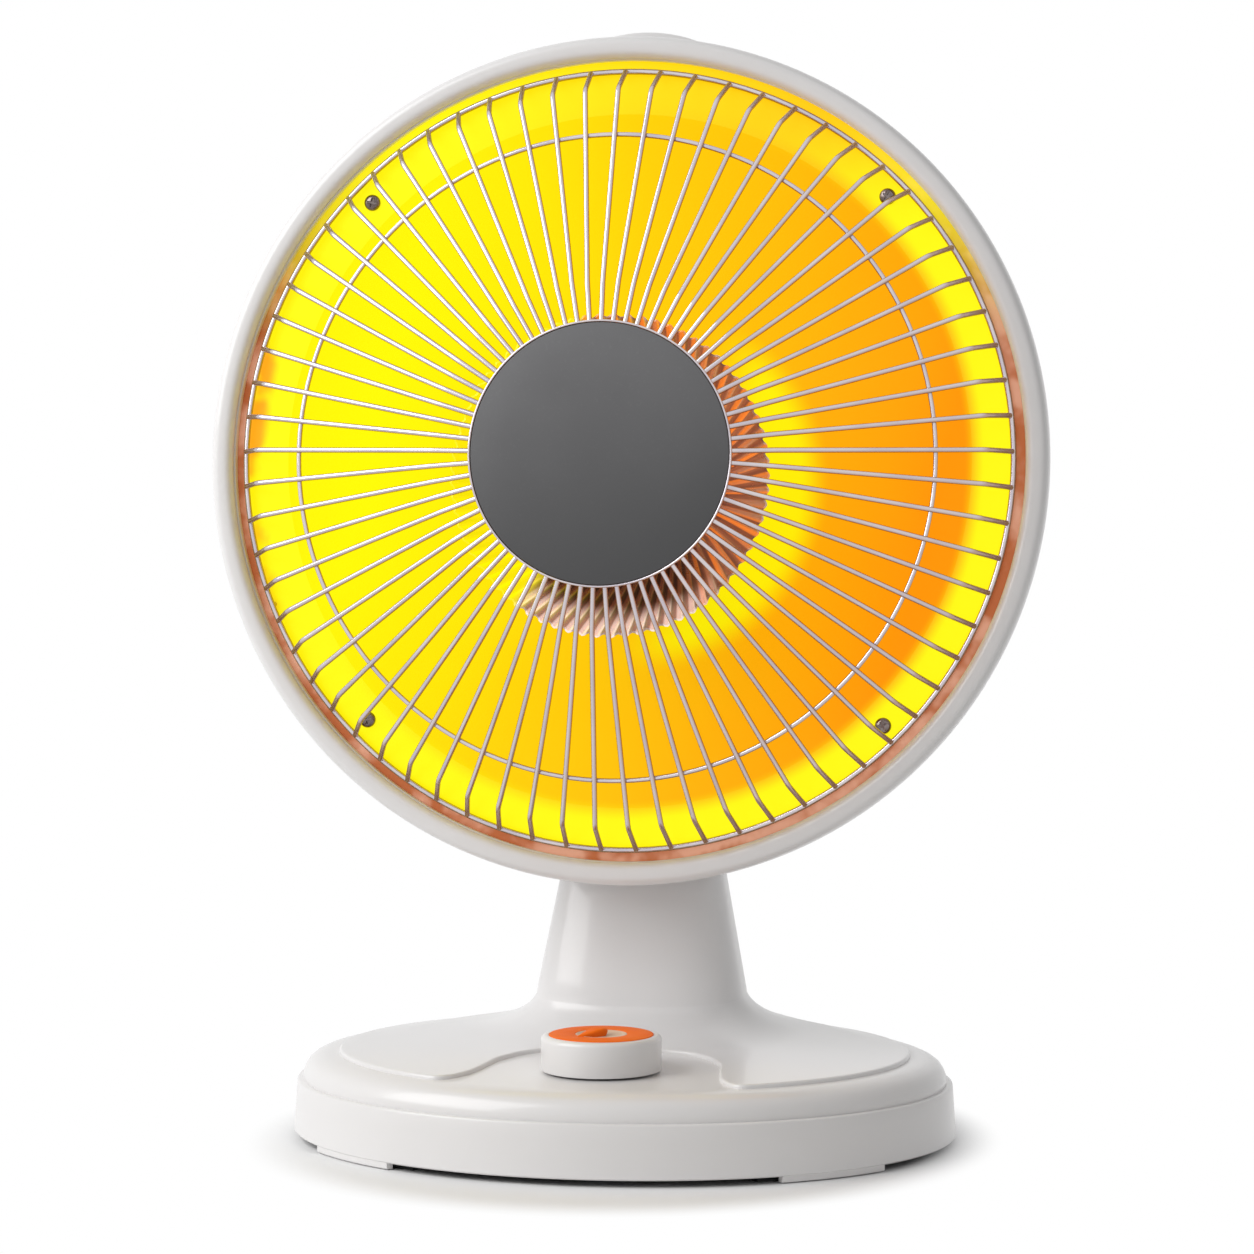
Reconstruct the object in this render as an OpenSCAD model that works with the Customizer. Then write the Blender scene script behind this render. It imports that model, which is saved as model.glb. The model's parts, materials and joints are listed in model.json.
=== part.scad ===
// Table-top parabolic heater: an oval base with a tapered column, and a round
// head that swings left and right and tips up and down.
// Millimetres. +Z is up, the front faces -Y, +X is to the right as seen from the front.
// The origin is the centre of the base, on the surface that the heater stands on.

/* [Base] */
// Width of the oval base
base_w = 252; // [220:1:300]
// Depth of the oval base
base_d = 205; // [180:1:250]
// Height of the seam between the skirt and the top cover
seam_z = 22.3; // [20:0.1:26]
// Height of the arc-shaped feet under the skirt
foot_h = 2.5; // [2:0.1:4]
// Wall of the plastic mouldings
wall = 2.4; // [2:0.1:3]
// Thickness of the steel bottom plate
plate_t = 1.6; // [1.2:0.1:2]
// Rise of the top cover from the seam to its crown at the column
crown_rise = 12; // [11.5:0.1:16]

/* [Column] */
// Width of the column at its top
column_top_w = 64; // [56:0.5:66]
// Depth of the column at its top
column_top_d = 40; // [36:0.5:44]
// Width of the column at its foot
column_foot_w = 86; // [74:0.5:90]
// Depth of the column at its foot
column_foot_d = 58; // [52:0.5:64]
// Height of the top of the column
column_z = 96; // [90:0.5:110]
// Distance of the swivel axis behind the centre of the base
swivel_y = 46; // [44:0.5:50]
// Radius of the hollow swivel axle
axle_r = 8; // [7:0.1:9]
// Running clearance of pins and shafts, on the radius
run_gap = 0.06; // [0.03:0.01:0.09]

/* [Head] */
// Outer radius of the front ring
ring_r = 160; // [150:1:170]
// Height of the front ring's lowest point above the top of the column
head_lift = 0; // [-4:1:12]
// Angle at which the head faces up at rest
face_up = 3; // [0:0.5:5]
// Width of the flat flange between the dish and the outside of the front ring
flange_w = 29; // [26:1:34]
// Depth of the reflector dish
dish_depth = 57.5; // [50:0.5:70]
// Depth of the rear shell beyond the dish
shell_room = 12.5; // [12:0.5:24]
// Thickness of the reflector sheet
sheet_t = 0.8; // [0.6:0.1:1]
// Radius of the tilt pin
pin_r = 4; // [3:0.1:5]
// Height of the tilt pin above the top of the column
pivot_rise = 28; // [26:0.5:30]
// Mean radius of the carrying handle's arch
handle_r = 52; // [48:1:58]

/* [Guard] */
// Number of radial wires
wire_count = 69; // [48:1:72]
// Diameter of the radial wires
wire_d = 2; // [1.8:0.1:2.4]
// Distance from the outside of the front ring in to the outer wire ring
guard_inset = 13.4; // [12:0.1:18]
// Distance from the outer wire ring in to the middle one
mid_ring_inset = 26.1; // [20:0.1:36]
// Radius of the grey plate in the middle of the guard
hub_r = 48.5; // [44:0.5:52]
// Distance of the grey plate in front of the outer wire ring
guard_depth = 49.6; // [44:0.1:54]

/* [Heating element] */
// Radius of the fluted collar at its mouth
collar_r = 60; // [56:0.5:62]
// Distance of the heating element below the axis of the dish
element_drop = 7; // [0:0.5:7]
// Radius of the ceramic core at its foot
core_r = 19; // [16:0.5:22]

/* [Controls] */
// Diameter of the knob
knob_d = 44.5; // [40:0.5:48]
// Height of the knob's body
knob_h = 13; // [11:0.5:15]
// Distance of the knob in front of the centre of the base
knob_y = 47; // [44:1:50]
// Radius of the tip-over plunger
plunger_r = 4.5; // [4:0.1:5.5]
// Travel of the tip-over plunger
plunger_travel = 4; // [3:0.5:5]
// Diameter of the cord that the gland takes
cord_d = 7; // [6:0.1:8]

/* [Hidden] */
$fn = 96;

// Colours
white = [0.93, 0.92, 0.91];
steel = [0.75, 0.76, 0.78];
orange = [0.95, 0.42, 0.1];

// Base levels
skirt_z = foot_h;
plate_z = skirt_z + 1.5;
ledge_z = plate_z + plate_t;
ledge_t = 2;
rim_gap = 0.3;
oval_steps = 72;
crown_z = seam_z + crown_rise;
// Lower floor of the cover round the knob
knob_floor_z = seam_z + 9.7;
knob_z = knob_floor_z + 0.8;

// Bosses of the base cover, as shares of the half width and half depth
boss_places = [[0.8, 0.3], [-0.8, 0.3], [0.66, -0.52], [-0.66, -0.52], [0.32, 0.8], [-0.32, 0.8]];
boss_r = 4.5;
screw_r = 1.9;
screw_gap = 0.1;
screw_head_r = 3.2;
screw_head_h = 2;

// Head levels, measured forward from the plane of the guard's outer ring
ring_y = -1;
head_z = column_z + ring_r + head_lift;
flange_z = -3.5;
shell_rim_z = -13;
shell_r = ring_r - 2.6;
shell_depth = dish_depth + shell_room;
flange_r = ring_r - 4.4;
dish_r = ring_r - flange_w;
guard_r = ring_r - guard_inset;
mid_ring_r = guard_r - mid_ring_inset;
screw_circle_r = guard_r - 7;
shell_power = 1.36;
shell_steps = 22;
dish_hole_r = 27;
bezel_crest = 8;

// Guard path, as [radius, height] corners of one wire
ring_wire_d = 2.2;
mid_wire_d = 1.8;
weld = 0.15;
shoulder = [guard_r - 9, 17.5];
knee = [hub_r + 15, guard_depth - 3.8];
wire_tip = [hub_r - 4, guard_depth - 0.9];
wire_start = [guard_r - 0.3, ring_wire_d / 2 + wire_d / 2 - weld];
shoulder_bend = 5;
knee_bend = 12;

pivot_y = swivel_y + 7;
pivot_z = column_z + pivot_rise;
fork_z = column_z + 6.5;
ear_x = 14.6;
ear_t = 5;

// --- Shared shapes ---

function oval(a, b) = [for (i = [0 : oval_steps - 1])
    let (t = 360 * i / oval_steps) [a * cos(t), b * sin(t)]];

// A rounded box outline that is squarer than an ellipse
function squircle(a, b, power) = [for (i = [0 : oval_steps - 1])
    let (t = 360 * i / oval_steps, c = cos(t), s = sin(t))
    [a * sign(c) * pow(abs(c), 2 / power), b * sign(s) * pow(abs(s), 2 / power)]];

module oval_slab(z, h, inset) {
    translate([0, 0, z]) linear_extrude(h) polygon(oval(base_w / 2 - inset, base_d / 2 - inset));
}

module oval_ring(z, h, inset, t) {
    difference() {
        oval_slab(z, h, inset);
        oval_slab(z - 1, h + 2, inset + t);
    }
}

module at_bosses() {
    for (p = boss_places)
        translate([p[0] * base_w / 2, p[1] * base_d / 2, 0]) children();
}

module pan_screw(head_r, head_h, r, length) {
    // The head's underside is at 0 and the shank runs down
    translate([0, 0, -length]) cylinder(r = r, h = length);
    difference() {
        rotate_extrude() intersection() {
            translate([0, head_h - head_r * 1.5]) circle(head_r * 1.5);
            square([head_r, head_h]);
        }
        for (a = [0, 90])
            rotate(a) translate([-head_r * 0.55, -head_r * 0.11, head_h * 0.4])
                cube([head_r * 1.1, head_r * 0.22, head_h]);
    }
}

// Local axes of the head: +Z forward out of the dish, +Y up
module in_head() {
    translate([0, ring_y, head_z]) rotate([90 - face_up, 0, 0]) children();
}

function shell_radius(depth) =
    shell_r * sqrt(max(0, 1 - pow(depth / shell_depth, shell_power)));

// Outline points of the bowl, from the rim to the middle of the back
function bowl(grow) = [for (i = [0 : shell_steps])
    let (s = shell_depth * (1 - pow(1 - i / shell_steps, 1.6)))
    [shell_radius(s) + grow * (1 - i / shell_steps), shell_rim_z - s - grow * i / shell_steps]];

module bowl_solid(grow) {
    rotate_extrude() polygon(concat(bowl(grow), [[0, shell_rim_z], [shell_r + grow, shell_rim_z]]));
}

function dish_z(r) = flange_z - dish_depth * (1 - pow(r / dish_r, 2));

// --- Base ---

module base_skirt() {
    color(white) {
        difference() {
            oval_slab(skirt_z, seam_z - skirt_z, 0);
            oval_slab(skirt_z - 1, ledge_z - skirt_z + 1, wall + rim_gap);
            oval_slab(ledge_z - 1, ledge_t + 2, wall + 3);
            oval_slab(ledge_z + ledge_t, seam_z, wall);
            gland_hole(0.15);
        }
        // Arc-shaped feet that carry the wall's line down to the floor
        for (side = [-1, 1], a = [42, -44])
            intersection() {
                oval_ring(0.4, skirt_z - 0.4, 0.3, 3.4);
                rotate(side > 0 ? a : 180 - a) translate([0, 0, -1])
                    linear_extrude(foot_h + 2)
                        polygon([[0, 0], [200, -38], [200, 38]]);
            }
    }
}

module bottom_plate() {
    color("dimgray") difference() {
        oval_slab(plate_z, plate_t, wall + 2 * rim_gap);
        at_bosses() translate([0, 0, plate_z - 1]) cylinder(r = screw_r + 0.3, h = plate_t + 2);
        translate([plunger_x, plunger_y, plate_z - 1])
            cylinder(r = plunger_r + 0.5, h = plate_t + 2);
        for (i = [-3 : 3])
            translate([i * 9 - 1.5, -26, plate_z - 1]) cube([3, 18, plate_t + 2]);
    }
}

module foot_pads() {
    color([0.15, 0.15, 0.15])
        for (side = [-1, 1], a = [42, -44])
            intersection() {
                oval_ring(0, plate_z, 6, 8);
                rotate(side > 0 ? a : 180 - a) translate([0, 0, -1])
                    linear_extrude(plate_z + 2)
                        polygon([[0, 0], [200, -30], [200, 30]]);
            }
}

module base_screws() {
    color(steel) at_bosses() translate([0, 0, plate_z]) mirror([0, 0, 1])
        pan_screw(screw_head_r, 1.6, screw_r, plate_t + 9);
}

ballast_t = 6;
module base_ballast() {
    color([0.3, 0.3, 0.32]) difference() {
        intersection() {
            oval_ring(ledge_z, ballast_t, 16, 26);
            translate([-base_w / 2, 10, 0]) cube([base_w, base_d, 40]);
        }
        at_bosses() cylinder(r = boss_r + 1, h = 40);
        tip_switch_block(1.5, 40);
        translate([0, base_d / 2 - 20, 0]) cylinder(r = 16, h = 40);
    }
}

column_lean = 6;
function column_share(z) = (z - crown_z) / (column_z - crown_z);
module column_slice(z, inset) {
    k = column_share(z);
    w = column_foot_w + (column_top_w - column_foot_w) * k;
    d = column_foot_d + (column_top_d - column_foot_d) * k;
    translate([0, swivel_y - column_lean * (1 - k), z]) linear_extrude(0.01)
        polygon(squircle(w / 2 - inset, d / 2 - inset, 2.8));
}

module cover_slice(z, inset) {
    translate([0, 0, z]) linear_extrude(0.01)
        polygon(oval(base_w / 2 - inset, base_d / 2 - inset));
}

// How far the column spreads at each height
flare = [[crown_z - 2, 22], [crown_z + 6, 8], [crown_z + 18, 0], [column_z, 0]];

module top_cover() {
    color(white) difference() {
        union() {
            hull() {
                cover_slice(seam_z, 2.6);
                cover_slice(seam_z + 4.5, 3.4);
                cover_slice(seam_z + 8, 6.6);
                cover_slice(seam_z + 9.6, 12);
                cover_slice(seam_z + 11, 20);
                cover_slice(crown_z, 60);
            }
            for (i = [0 : len(flare) - 2])
                hull() {
                    column_slice(flare[i][0], -flare[i][1]);
                    column_slice(flare[i + 1][0], -flare[i + 1][1]);
                }
            oval_ring(ledge_z + ledge_t, seam_z - ledge_z - ledge_t + 1, wall + rim_gap, 2.2);
        }
        hull() {
            cover_slice(seam_z - 0.5, 5);
            cover_slice(seam_z + 5, 8);
            cover_slice(knob_floor_z - wall - 0.3, 16);
        }
        // Behind the knob the cover is hollow up to its crown
        intersection() {
            hull() {
                cover_slice(seam_z + 5, 14);
                cover_slice(crown_z - 3.6, 46);
            }
            translate([-base_w / 2, rear_hollow_y, 0]) cube([base_w, base_d, 60]);
        }
        hull() {
            column_slice(crown_z - 12, wall);
            column_slice(column_z + 1, wall);
        }
        // Lower floor around the knob, and the hole of its shaft
        difference() {
            translate([0, 0, knob_floor_z]) linear_extrude(10) polygon(dip_outline());
            floor_slope();
        }
        translate([0, -knob_y, 0]) cylinder(r = shaft_r + 0.8, h = 60);
        gland_hole(0.15);
        at_cap_screws() translate([0, 0, -9]) cylinder(r = cap_screw_r + screw_gap, h = 12);
    }
    color(white) at_bosses() difference() {
        translate([0, 0, ledge_z]) cylinder(r = boss_r, h = knob_floor_z - wall + 0.5 - ledge_z);
        translate([0, 0, ledge_z - 1]) cylinder(r = screw_r + screw_gap, h = 11);
    }
}

// Right half of the lower floor's outline, from the front edge to behind the knob
dip_half = [[76, -base_d], [66, -92], [58, -79], [51, -71], [47, -61], [45, -48], [43, -32],
    [37, -19], [29, -11], [20, -8]];
dip_back_y = -7;
dip_slope_y = -24;
dip_slope = 0.1;
rear_hollow_y = -4;
// Behind the knob the floor rises gently to the crown
module floor_slope() {
    run = base_d / 2;
    translate([-base_w / 2, dip_slope_y, knob_floor_z]) rotate([90, 0, 90]) linear_extrude(base_w)
        polygon([[0, -1], [0, 0], [run, run * dip_slope], [run, -1]]);
}
function dip_outline() = concat(dip_half, [[0, dip_back_y]],
    [for (i = [len(dip_half) - 1 : -1 : 0]) [-dip_half[i][0], dip_half[i][1]]]);

cap_t = 3;
motor_screw_x = 23;
cap_screw_x = 14;
cap_screw_r = 1.4;
module at_cap_screws() {
    for (s = [-1, 1])
        translate([s * cap_screw_x, swivel_y + column_top_d / 2 + 0.1, column_z - 3.4])
            rotate([-90, 0, 0]) children();
}

module column_cap() {
    color(white) difference() {
        union() {
            translate([0, swivel_y, column_z + 0.1]) linear_extrude(cap_t)
                polygon(squircle(column_top_w / 2 - 1, column_top_d / 2 - 1, 2.8));
            translate([0, swivel_y, column_z - 7]) difference() {
                linear_extrude(7.2)
                    polygon(squircle(column_top_w / 2 - wall - 0.6, column_top_d / 2 - wall - 0.6, 2.8));
                translate([0, 0, -1]) linear_extrude(7.2)
                    polygon(squircle(column_top_w / 2 - 2 * wall - 1, column_top_d / 2 - 2 * wall - 1, 2.8));
            }
            translate([0, swivel_y, column_z - 16]) cylinder(r = axle_r + 5, h = 17);
            for (s = [-1, 1]) translate([s * motor_screw_x, swivel_y, motor_top_z])
                cylinder(r = 4, h = column_z + 0.5 - motor_top_z);
        }
        translate([0, swivel_y, column_z - 20]) cylinder(r = bush_r, h = 30);
        for (s = [-1, 1]) translate([s * motor_screw_x, swivel_y, motor_top_z - 1])
            cylinder(r = screw_r + screw_gap, h = 12);
        at_cap_screws() translate([0, 0, -9]) cylinder(r = cap_screw_r + screw_gap, h = 12);
    }
}

bush_r = axle_r + 2.2;
bush_top_z = column_z + cap_t + 0.9;
module swivel_bush() {
    color("ivory") difference() {
        union() {
            translate([0, swivel_y, column_z - 16]) cylinder(r = bush_r - 0.03, h = cap_t + 16.9);
            translate([0, swivel_y, column_z + cap_t + 0.1]) cylinder(r = bush_r + 4, h = 0.8);
        }
        translate([0, swivel_y, column_z - 20]) cylinder(r = axle_r + run_gap, h = 40);
    }
}

// Two screws through the back of the column hold the cap
module cap_screws() {
    color(steel) at_cap_screws() pan_screw(2.6, 1.2, cap_screw_r, 6);
}

motor_r = 18.5;
motor_h = 17;
motor_top_z = column_z - 34;
module swing_motor() {
    color(steel) {
        translate([0, swivel_y, motor_top_z - motor_h]) cylinder(r = motor_r, h = motor_h - 1.2);
        difference() {
            hull() for (s = [-1, 1]) translate([s * motor_screw_x, swivel_y, motor_top_z - 1.2])
                cylinder(r = 5, h = 1.2, $fn = 32);
            for (s = [-1, 1]) translate([s * motor_screw_x, swivel_y, motor_top_z - 3])
                cylinder(r = screw_r + 0.3, h = 5);
        }
        translate([0, swivel_y, motor_top_z - 1.2]) cylinder(r = crank_shaft_r, h = 8);
    }
}

module motor_screws() {
    color(steel) for (s = [-1, 1])
        translate([s * motor_screw_x, swivel_y, motor_top_z - 1.2]) mirror([0, 0, 1])
            pan_screw(screw_head_r, screw_head_h, screw_r, 8);
}

gland_y = base_d / 2 - 6;
gland_z = 13;
gland_r = cord_d / 2 + 2.6;
module gland_hole(gap) {
    translate([0, gland_y - 14, gland_z]) rotate([-90, 0, 0]) cylinder(r = gland_r + gap, h = 40);
}

module cord_gland() {
    color([0.9, 0.9, 0.89]) translate([0, gland_y - 8, gland_z]) rotate([-90, 0, 0]) difference() {
        cylinder(r = gland_r, h = 13.6);
        translate([0, 0, -1]) cylinder(r = cord_d / 2 + 0.15, h = 20);
    }
}

module terminal_block() {
    color("ivory") difference() {
        translate([-19, 34, ledge_z]) cube([38, 14, 12]);
        for (i = [0 : 2]) translate([-12 + i * 12, 41, ledge_z + 2.5]) cylinder(r = 2, h = 20);
    }
}

shaft_r = 3;
switch_top_z = knob_floor_z - 3.4;
switch_foot_z = ledge_z + 6;
module rotary_switch() {
    color([0.2, 0.2, 0.22]) difference() {
        union() {
            translate([-16, -knob_y - 14, switch_foot_z]) cube([32, 28, switch_top_z - switch_foot_z]);
            for (i = [-1 : 1])
                translate([i * 9 - 2.5, -knob_y - 13, switch_foot_z - 3.5]) cube([5, 1, 4]);
        }
        translate([0, -knob_y, switch_top_z - 11]) cylinder(r = shaft_r + run_gap, h = 20);
    }
}

wire_r = 1.2;
wire_colours = ["saddlebrown", "steelblue", "darkgreen"];
module base_wiring() {
    // Three insulated wires from the terminal block to the switch
    for (i = [-1 : 1])
        color(wire_colours[i + 1])
            translate([24 + i * 3.4, -knob_y + 4, ledge_z + 4]) {
                rotate([-90, 0, 0]) cylinder(r = wire_r, h = knob_y + 40, $fn = 24);
            }
}

plunger_x = base_w / 2 - 64;
plunger_y = 40;
guide_r = plunger_r + run_gap;
switch_housing_r = 9;
switch_box = [12, 14, 14];
module tip_switch_block(grow, h) {
    translate([plunger_x, plunger_y, ledge_z]) {
        cylinder(r = switch_housing_r + grow, h = h);
        translate([switch_housing_r - 1, -switch_box[1] / 2 - grow, 0])
            cube([switch_box[0] + grow, switch_box[1] + 2 * grow, min(h, switch_box[2] + 20 * grow)]);
    }
}
module tip_switch() {
    color([0.12, 0.12, 0.14]) difference() {
        tip_switch_block(0, 18);
        translate([plunger_x, plunger_y, ledge_z - 1]) cylinder(r = guide_r, h = 12);
        translate([plunger_x, plunger_y, ledge_z + 6]) cylinder(r = 7, h = 10.5);
    }
}

module tip_plunger() {
    color([0.85, 0.85, 0.85]) translate([plunger_x, plunger_y, 0]) {
        cylinder(r = plunger_r, h = ledge_z + 12);
        translate([0, 0, ledge_z + 6 + plunger_travel + 0.4]) cylinder(r = 6.2, h = 2);
    }
}

// --- Knob ---

knob_top_z = knob_z + knob_h;
module knob_shaft() {
    color(steel) translate([0, -knob_y, switch_top_z - 10])
        cylinder(r = shaft_r, h = knob_z + 8 - switch_top_z + 10);
}

module knob_body() {
    color(white) translate([0, -knob_y, knob_z]) difference() {
        rotate_extrude() polygon(concat([[0, 0], [knob_d / 2 - 0.4, 0]],
            [for (i = [0 : 8]) let (t = 90 * i / 8)
                [knob_d / 2 - 1.6 + 1.6 * cos(t), knob_h - 1.6 + 1.6 * sin(t)]], [[0, knob_h]]));
        translate([0, 0, -1]) cylinder(r = shaft_r + 0.02, h = 9.1);
        translate([0, 0, knob_h - 1.4]) cylinder(r = knob_face_r + 0.1, h = 3);
        difference() {
            translate([0, 0, -1]) cylinder(r = knob_d / 2 - 2.4, h = knob_h - 3);
            translate([0, 0, -2]) cylinder(r = shaft_r + 2.5, h = knob_h);
        }
    }
}

knob_face_r = 19;
knob_disc_r = 9.5;
module knob_ring() {
    color(orange) translate([0, -knob_y, knob_top_z - 1.4]) difference() {
        cylinder(r = knob_face_r, h = 1.8);
        translate([0, 0, 0.8]) cylinder(r = knob_disc_r + 0.1, h = 3);
        translate([0, 0, 1.8]) grip_outline(0.1);
    }
}

module knob_disc() {
    color([0.95, 0.85, 0.76]) translate([0, -knob_y, knob_top_z - 0.6]) difference() {
        cylinder(r = knob_disc_r, h = 0.7);
        grip_outline(0.1);
    }
}

// The grip is sharp and low at one end, round and raised at the other
grip_turn = 50;
grip_r = 2.9;
grip_back = -11.5;
grip_front = -0.6;
grip_low = 0.7;
grip_high = 2.6;
module grip_outline(grow) {
    rotate(grip_turn) translate([0, 0, -1]) linear_extrude(6) grip_shape(grow);
}
module grip_shape(grow) {
    hull() {
        translate([grip_front, 0]) circle(r = grip_r + grow, $fn = 32);
        translate([grip_back + 0.4, 0]) circle(r = 0.4 + grow, $fn = 32);
    }
}

module knob_grip() {
    sink = 0.55;
    color(orange) translate([0, -knob_y, knob_top_z]) rotate(grip_turn) intersection() {
        translate([0, 0, -sink]) linear_extrude(sink + grip_high) grip_shape(0);
        translate([0, 10, 0]) rotate([90, 0, 0]) linear_extrude(20)
            polygon([[grip_back, -sink], [grip_back, grip_low], [grip_front, grip_high],
                [grip_front + grip_r, grip_high], [grip_front + grip_r, -sink]]);
    }
}

// --- Swivel ---

crank_shaft_r = 2.5;
crank_z = motor_top_z + 1.6;
crank_throw = 6;
module crank_disc() {
    color("ivory") translate([0, swivel_y, crank_z]) difference() {
        union() {
            cylinder(r = 11, h = 4);
            translate([0, -crank_throw, 0]) cylinder(r = 2, h = 6.4);
        }
        translate([0, 0, -1]) cylinder(r = crank_shaft_r + run_gap, h = 6);
    }
}

arm_z = crank_z + 6.9;
module crank_arm() {
    // The slotted arm on the foot of the axle, clear of the crank's pin
    color(steel) translate([0, swivel_y, arm_z]) difference() {
        hull() {
            cylinder(r = 8, h = 2, $fn = 48);
            translate([0, -11, 0]) cylinder(r = 4, h = 2, $fn = 32);
        }
        translate([0, -8.5, -1]) linear_extrude(4) square([4.6, 8], center = true);
        translate([0, 0, -1]) cylinder(r = 1.6, h = 5);
    }
}

module arm_screw() {
    color(steel) translate([0, swivel_y, arm_z]) mirror([0, 0, 1])
        pan_screw(2.6, 0.4, 1.5, 8);
}

module swivel_axle() {
    color(steel) translate([0, swivel_y, arm_z + 2]) difference() {
        cylinder(r = axle_r, h = fork_z + 4 - arm_z - 2);
        translate([0, 0, 6]) cylinder(r = axle_r - 2, h = 60);
        translate([0, 0, -1]) cylinder(r = 1.6, h = 9);
    }
}

module axle_clip() {
    color([0.3, 0.3, 0.3]) translate([0, swivel_y, column_z - 17.6]) difference() {
        cylinder(r = axle_r + 2.5, h = 1);
        translate([0, 0, -1]) cylinder(r = axle_r + 0.02, h = 3);
        translate([0, -2, -1]) cube([20, 4, 3]);
    }
}

fork_base_r = 21;
fork_base_h = 4.5;
fork_round = 4;
module swivel_fork() {
    color(white) difference() {
        union() {
            translate([0, swivel_y, fork_z - 2.4]) rotate_extrude() polygon(concat(
                [[0, 0], [fork_base_r, 0]],
                [for (i = [0 : 6]) let (t = 90 * i / 6)
                    [fork_base_r - fork_round + fork_round * cos(t),
                        fork_base_h + 2.4 - fork_round + fork_round * sin(t)]],
                [[0, fork_base_h + 2.4]]));
            for (s = [-1, 1]) hull() {
                translate([s * (ear_x + ear_t / 2) - ear_t / 2, pivot_y, pivot_z])
                    rotate([0, 90, 0]) cylinder(r = 9.5, h = ear_t, $fn = 48);
                translate([s * (ear_x + ear_t / 2) - ear_t / 2, swivel_y - 13, fork_z])
                    cube([ear_t, 28, 1]);
            }
        }
        translate([0, swivel_y, fork_z - 4]) cylinder(r = axle_r + 0.02, h = 8);
        translate([0, swivel_y, fork_z]) cylinder(r = axle_r - 2, h = 20);
        translate([-50, pivot_y, pivot_z]) rotate([0, 90, 0]) cylinder(r = pin_r + run_gap, h = 100);
        // Seat of the bush's flange
        translate([0, swivel_y, fork_z - 4]) cylinder(r = bush_r + 4.6, h = 4 + bush_top_z - fork_z + 0.05);
    }
}

washer_t = 0.8;
pin_head_t = 4;
module tilt_pin() {
    color(steel) translate([-ear_x - ear_t - pin_head_t, pivot_y, pivot_z]) rotate([0, 90, 0]) {
        cylinder(r = 7.5, h = pin_head_t - 0.1);
        cylinder(r = pin_r, h = 2 * (ear_x + ear_t) + pin_head_t + 6);
    }
}

module tilt_nut() {
    color(steel) translate([ear_x + ear_t + 0.1, pivot_y, pivot_z]) rotate([0, 90, 0]) difference() {
        cylinder(r = 7.5, h = 5, $fn = 6);
        translate([0, 0, -1]) cylinder(r = pin_r + 0.02, h = 9);
    }
}

module tilt_washers() {
    color([0.3, 0.3, 0.3]) for (s = [-1, 1])
        translate([s * (ear_x - 0.1 - washer_t / 2) - washer_t / 2, pivot_y, pivot_z])
            rotate([0, 90, 0]) difference() {
                cylinder(r = 9, h = washer_t);
                translate([0, 0, -1]) cylinder(r = pin_r + run_gap, h = 3);
            }
}

// --- Head: tilt block, shells, handle ---

block_half = ear_x - washer_t - 0.2;
module tilt_block() {
    color(white) difference() {
        hull() {
            translate([-block_half, pivot_y, pivot_z]) rotate([0, 90, 0])
                cylinder(r = 9.5, h = 2 * block_half, $fn = 48);
            translate([-block_half, swivel_y - 20, pivot_z + 43]) cube([2 * block_half, 36, 2]);
        }
        in_head() bowl_solid(0.1);
        translate([-50, pivot_y, pivot_z]) rotate([0, 90, 0]) cylinder(r = pin_r + run_gap, h = 100);
        block_screw_holes(0.1);
    }
}

// Screws that hold the block to the shell's underside, from inside the shell and
// square to it
block_screw_depth = 44;
block_boss_t = 4.3;
module at_block_screws() {
    step = 0.5;
    slope = (shell_radius(block_screw_depth - step) - shell_radius(block_screw_depth + step)) / (2 * step);
    for (s = [-1, 1]) in_head()
        translate([s * 8, -shell_radius(block_screw_depth), shell_rim_z - block_screw_depth])
            rotate([-atan2(1, slope), 0, 0]) children();
}
module block_screw_holes(gap) {
    at_block_screws() translate([0, 0, -10]) cylinder(r = screw_r + gap, h = 20);
}

module block_screws() {
    color(steel) at_block_screws() translate([0, 0, block_boss_t])
        pan_screw(screw_head_r, screw_head_h, screw_r, 12);
}

vent_count = 30;
shell_edge_z = flange_z - sheet_t;
module rear_shell() {
    color(white) difference() {
        union() {
            in_head() rotate_extrude() difference() {
                polygon(concat(bowl(0), [[0, shell_edge_z], [shell_r, shell_edge_z]]));
                polygon(concat([for (p = bowl(0)) [max(0, p[0] - wall), min(shell_rim_z, p[1] + wall)]],
                    [[0, shell_edge_z + 1], [shell_r - wall, shell_edge_z + 1]]));
            }
            // Pillars that carry the reflector's flange, and pads under the screws
            in_head() intersection() {
                union() {
                    at_reflector_screws() translate([0, 0, shell_rim_z - 26])
                        cylinder(r = 5, h = shell_edge_z - shell_rim_z + 26);
                    at_handle_screws() translate([0, 0, -18]) cylinder(r = 5, h = 18);
                }
                union() {
                    bowl_solid(-1);
                    translate([0, 0, shell_rim_z]) cylinder(r = shell_r - 1, h = 20);
                }
            }
            intersection() {
                at_block_screws() translate([0, 0, -1]) cylinder(r = 5, h = block_boss_t + 1);
                in_head() bowl_solid(-0.6);
            }
        }
        in_head() {
            at_reflector_screws() translate([0, 0, flange_z - 12])
                cylinder(r = screw_r + screw_gap, h = 20);
            at_handle_screws() translate([0, 0, -30]) cylinder(r = screw_r + screw_gap, h = 32);
            at_shell_screws() translate([0, 0, -6]) cylinder(r = 1.3 + screw_gap, h = 10);
            // Radial air slots in the back
            for (i = [0 : vent_count - 1])
                rotate(360 * i / vent_count) translate([42, -2, shell_rim_z - shell_depth])
                    cube([36, 4, 36]);
        }
        block_screw_holes(screw_gap);
    }
}

module at_reflector_screws() {
    for (a = [45 : 90 : 315]) rotate(a) translate([screw_circle_r, 0, 0]) children();
}

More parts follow.
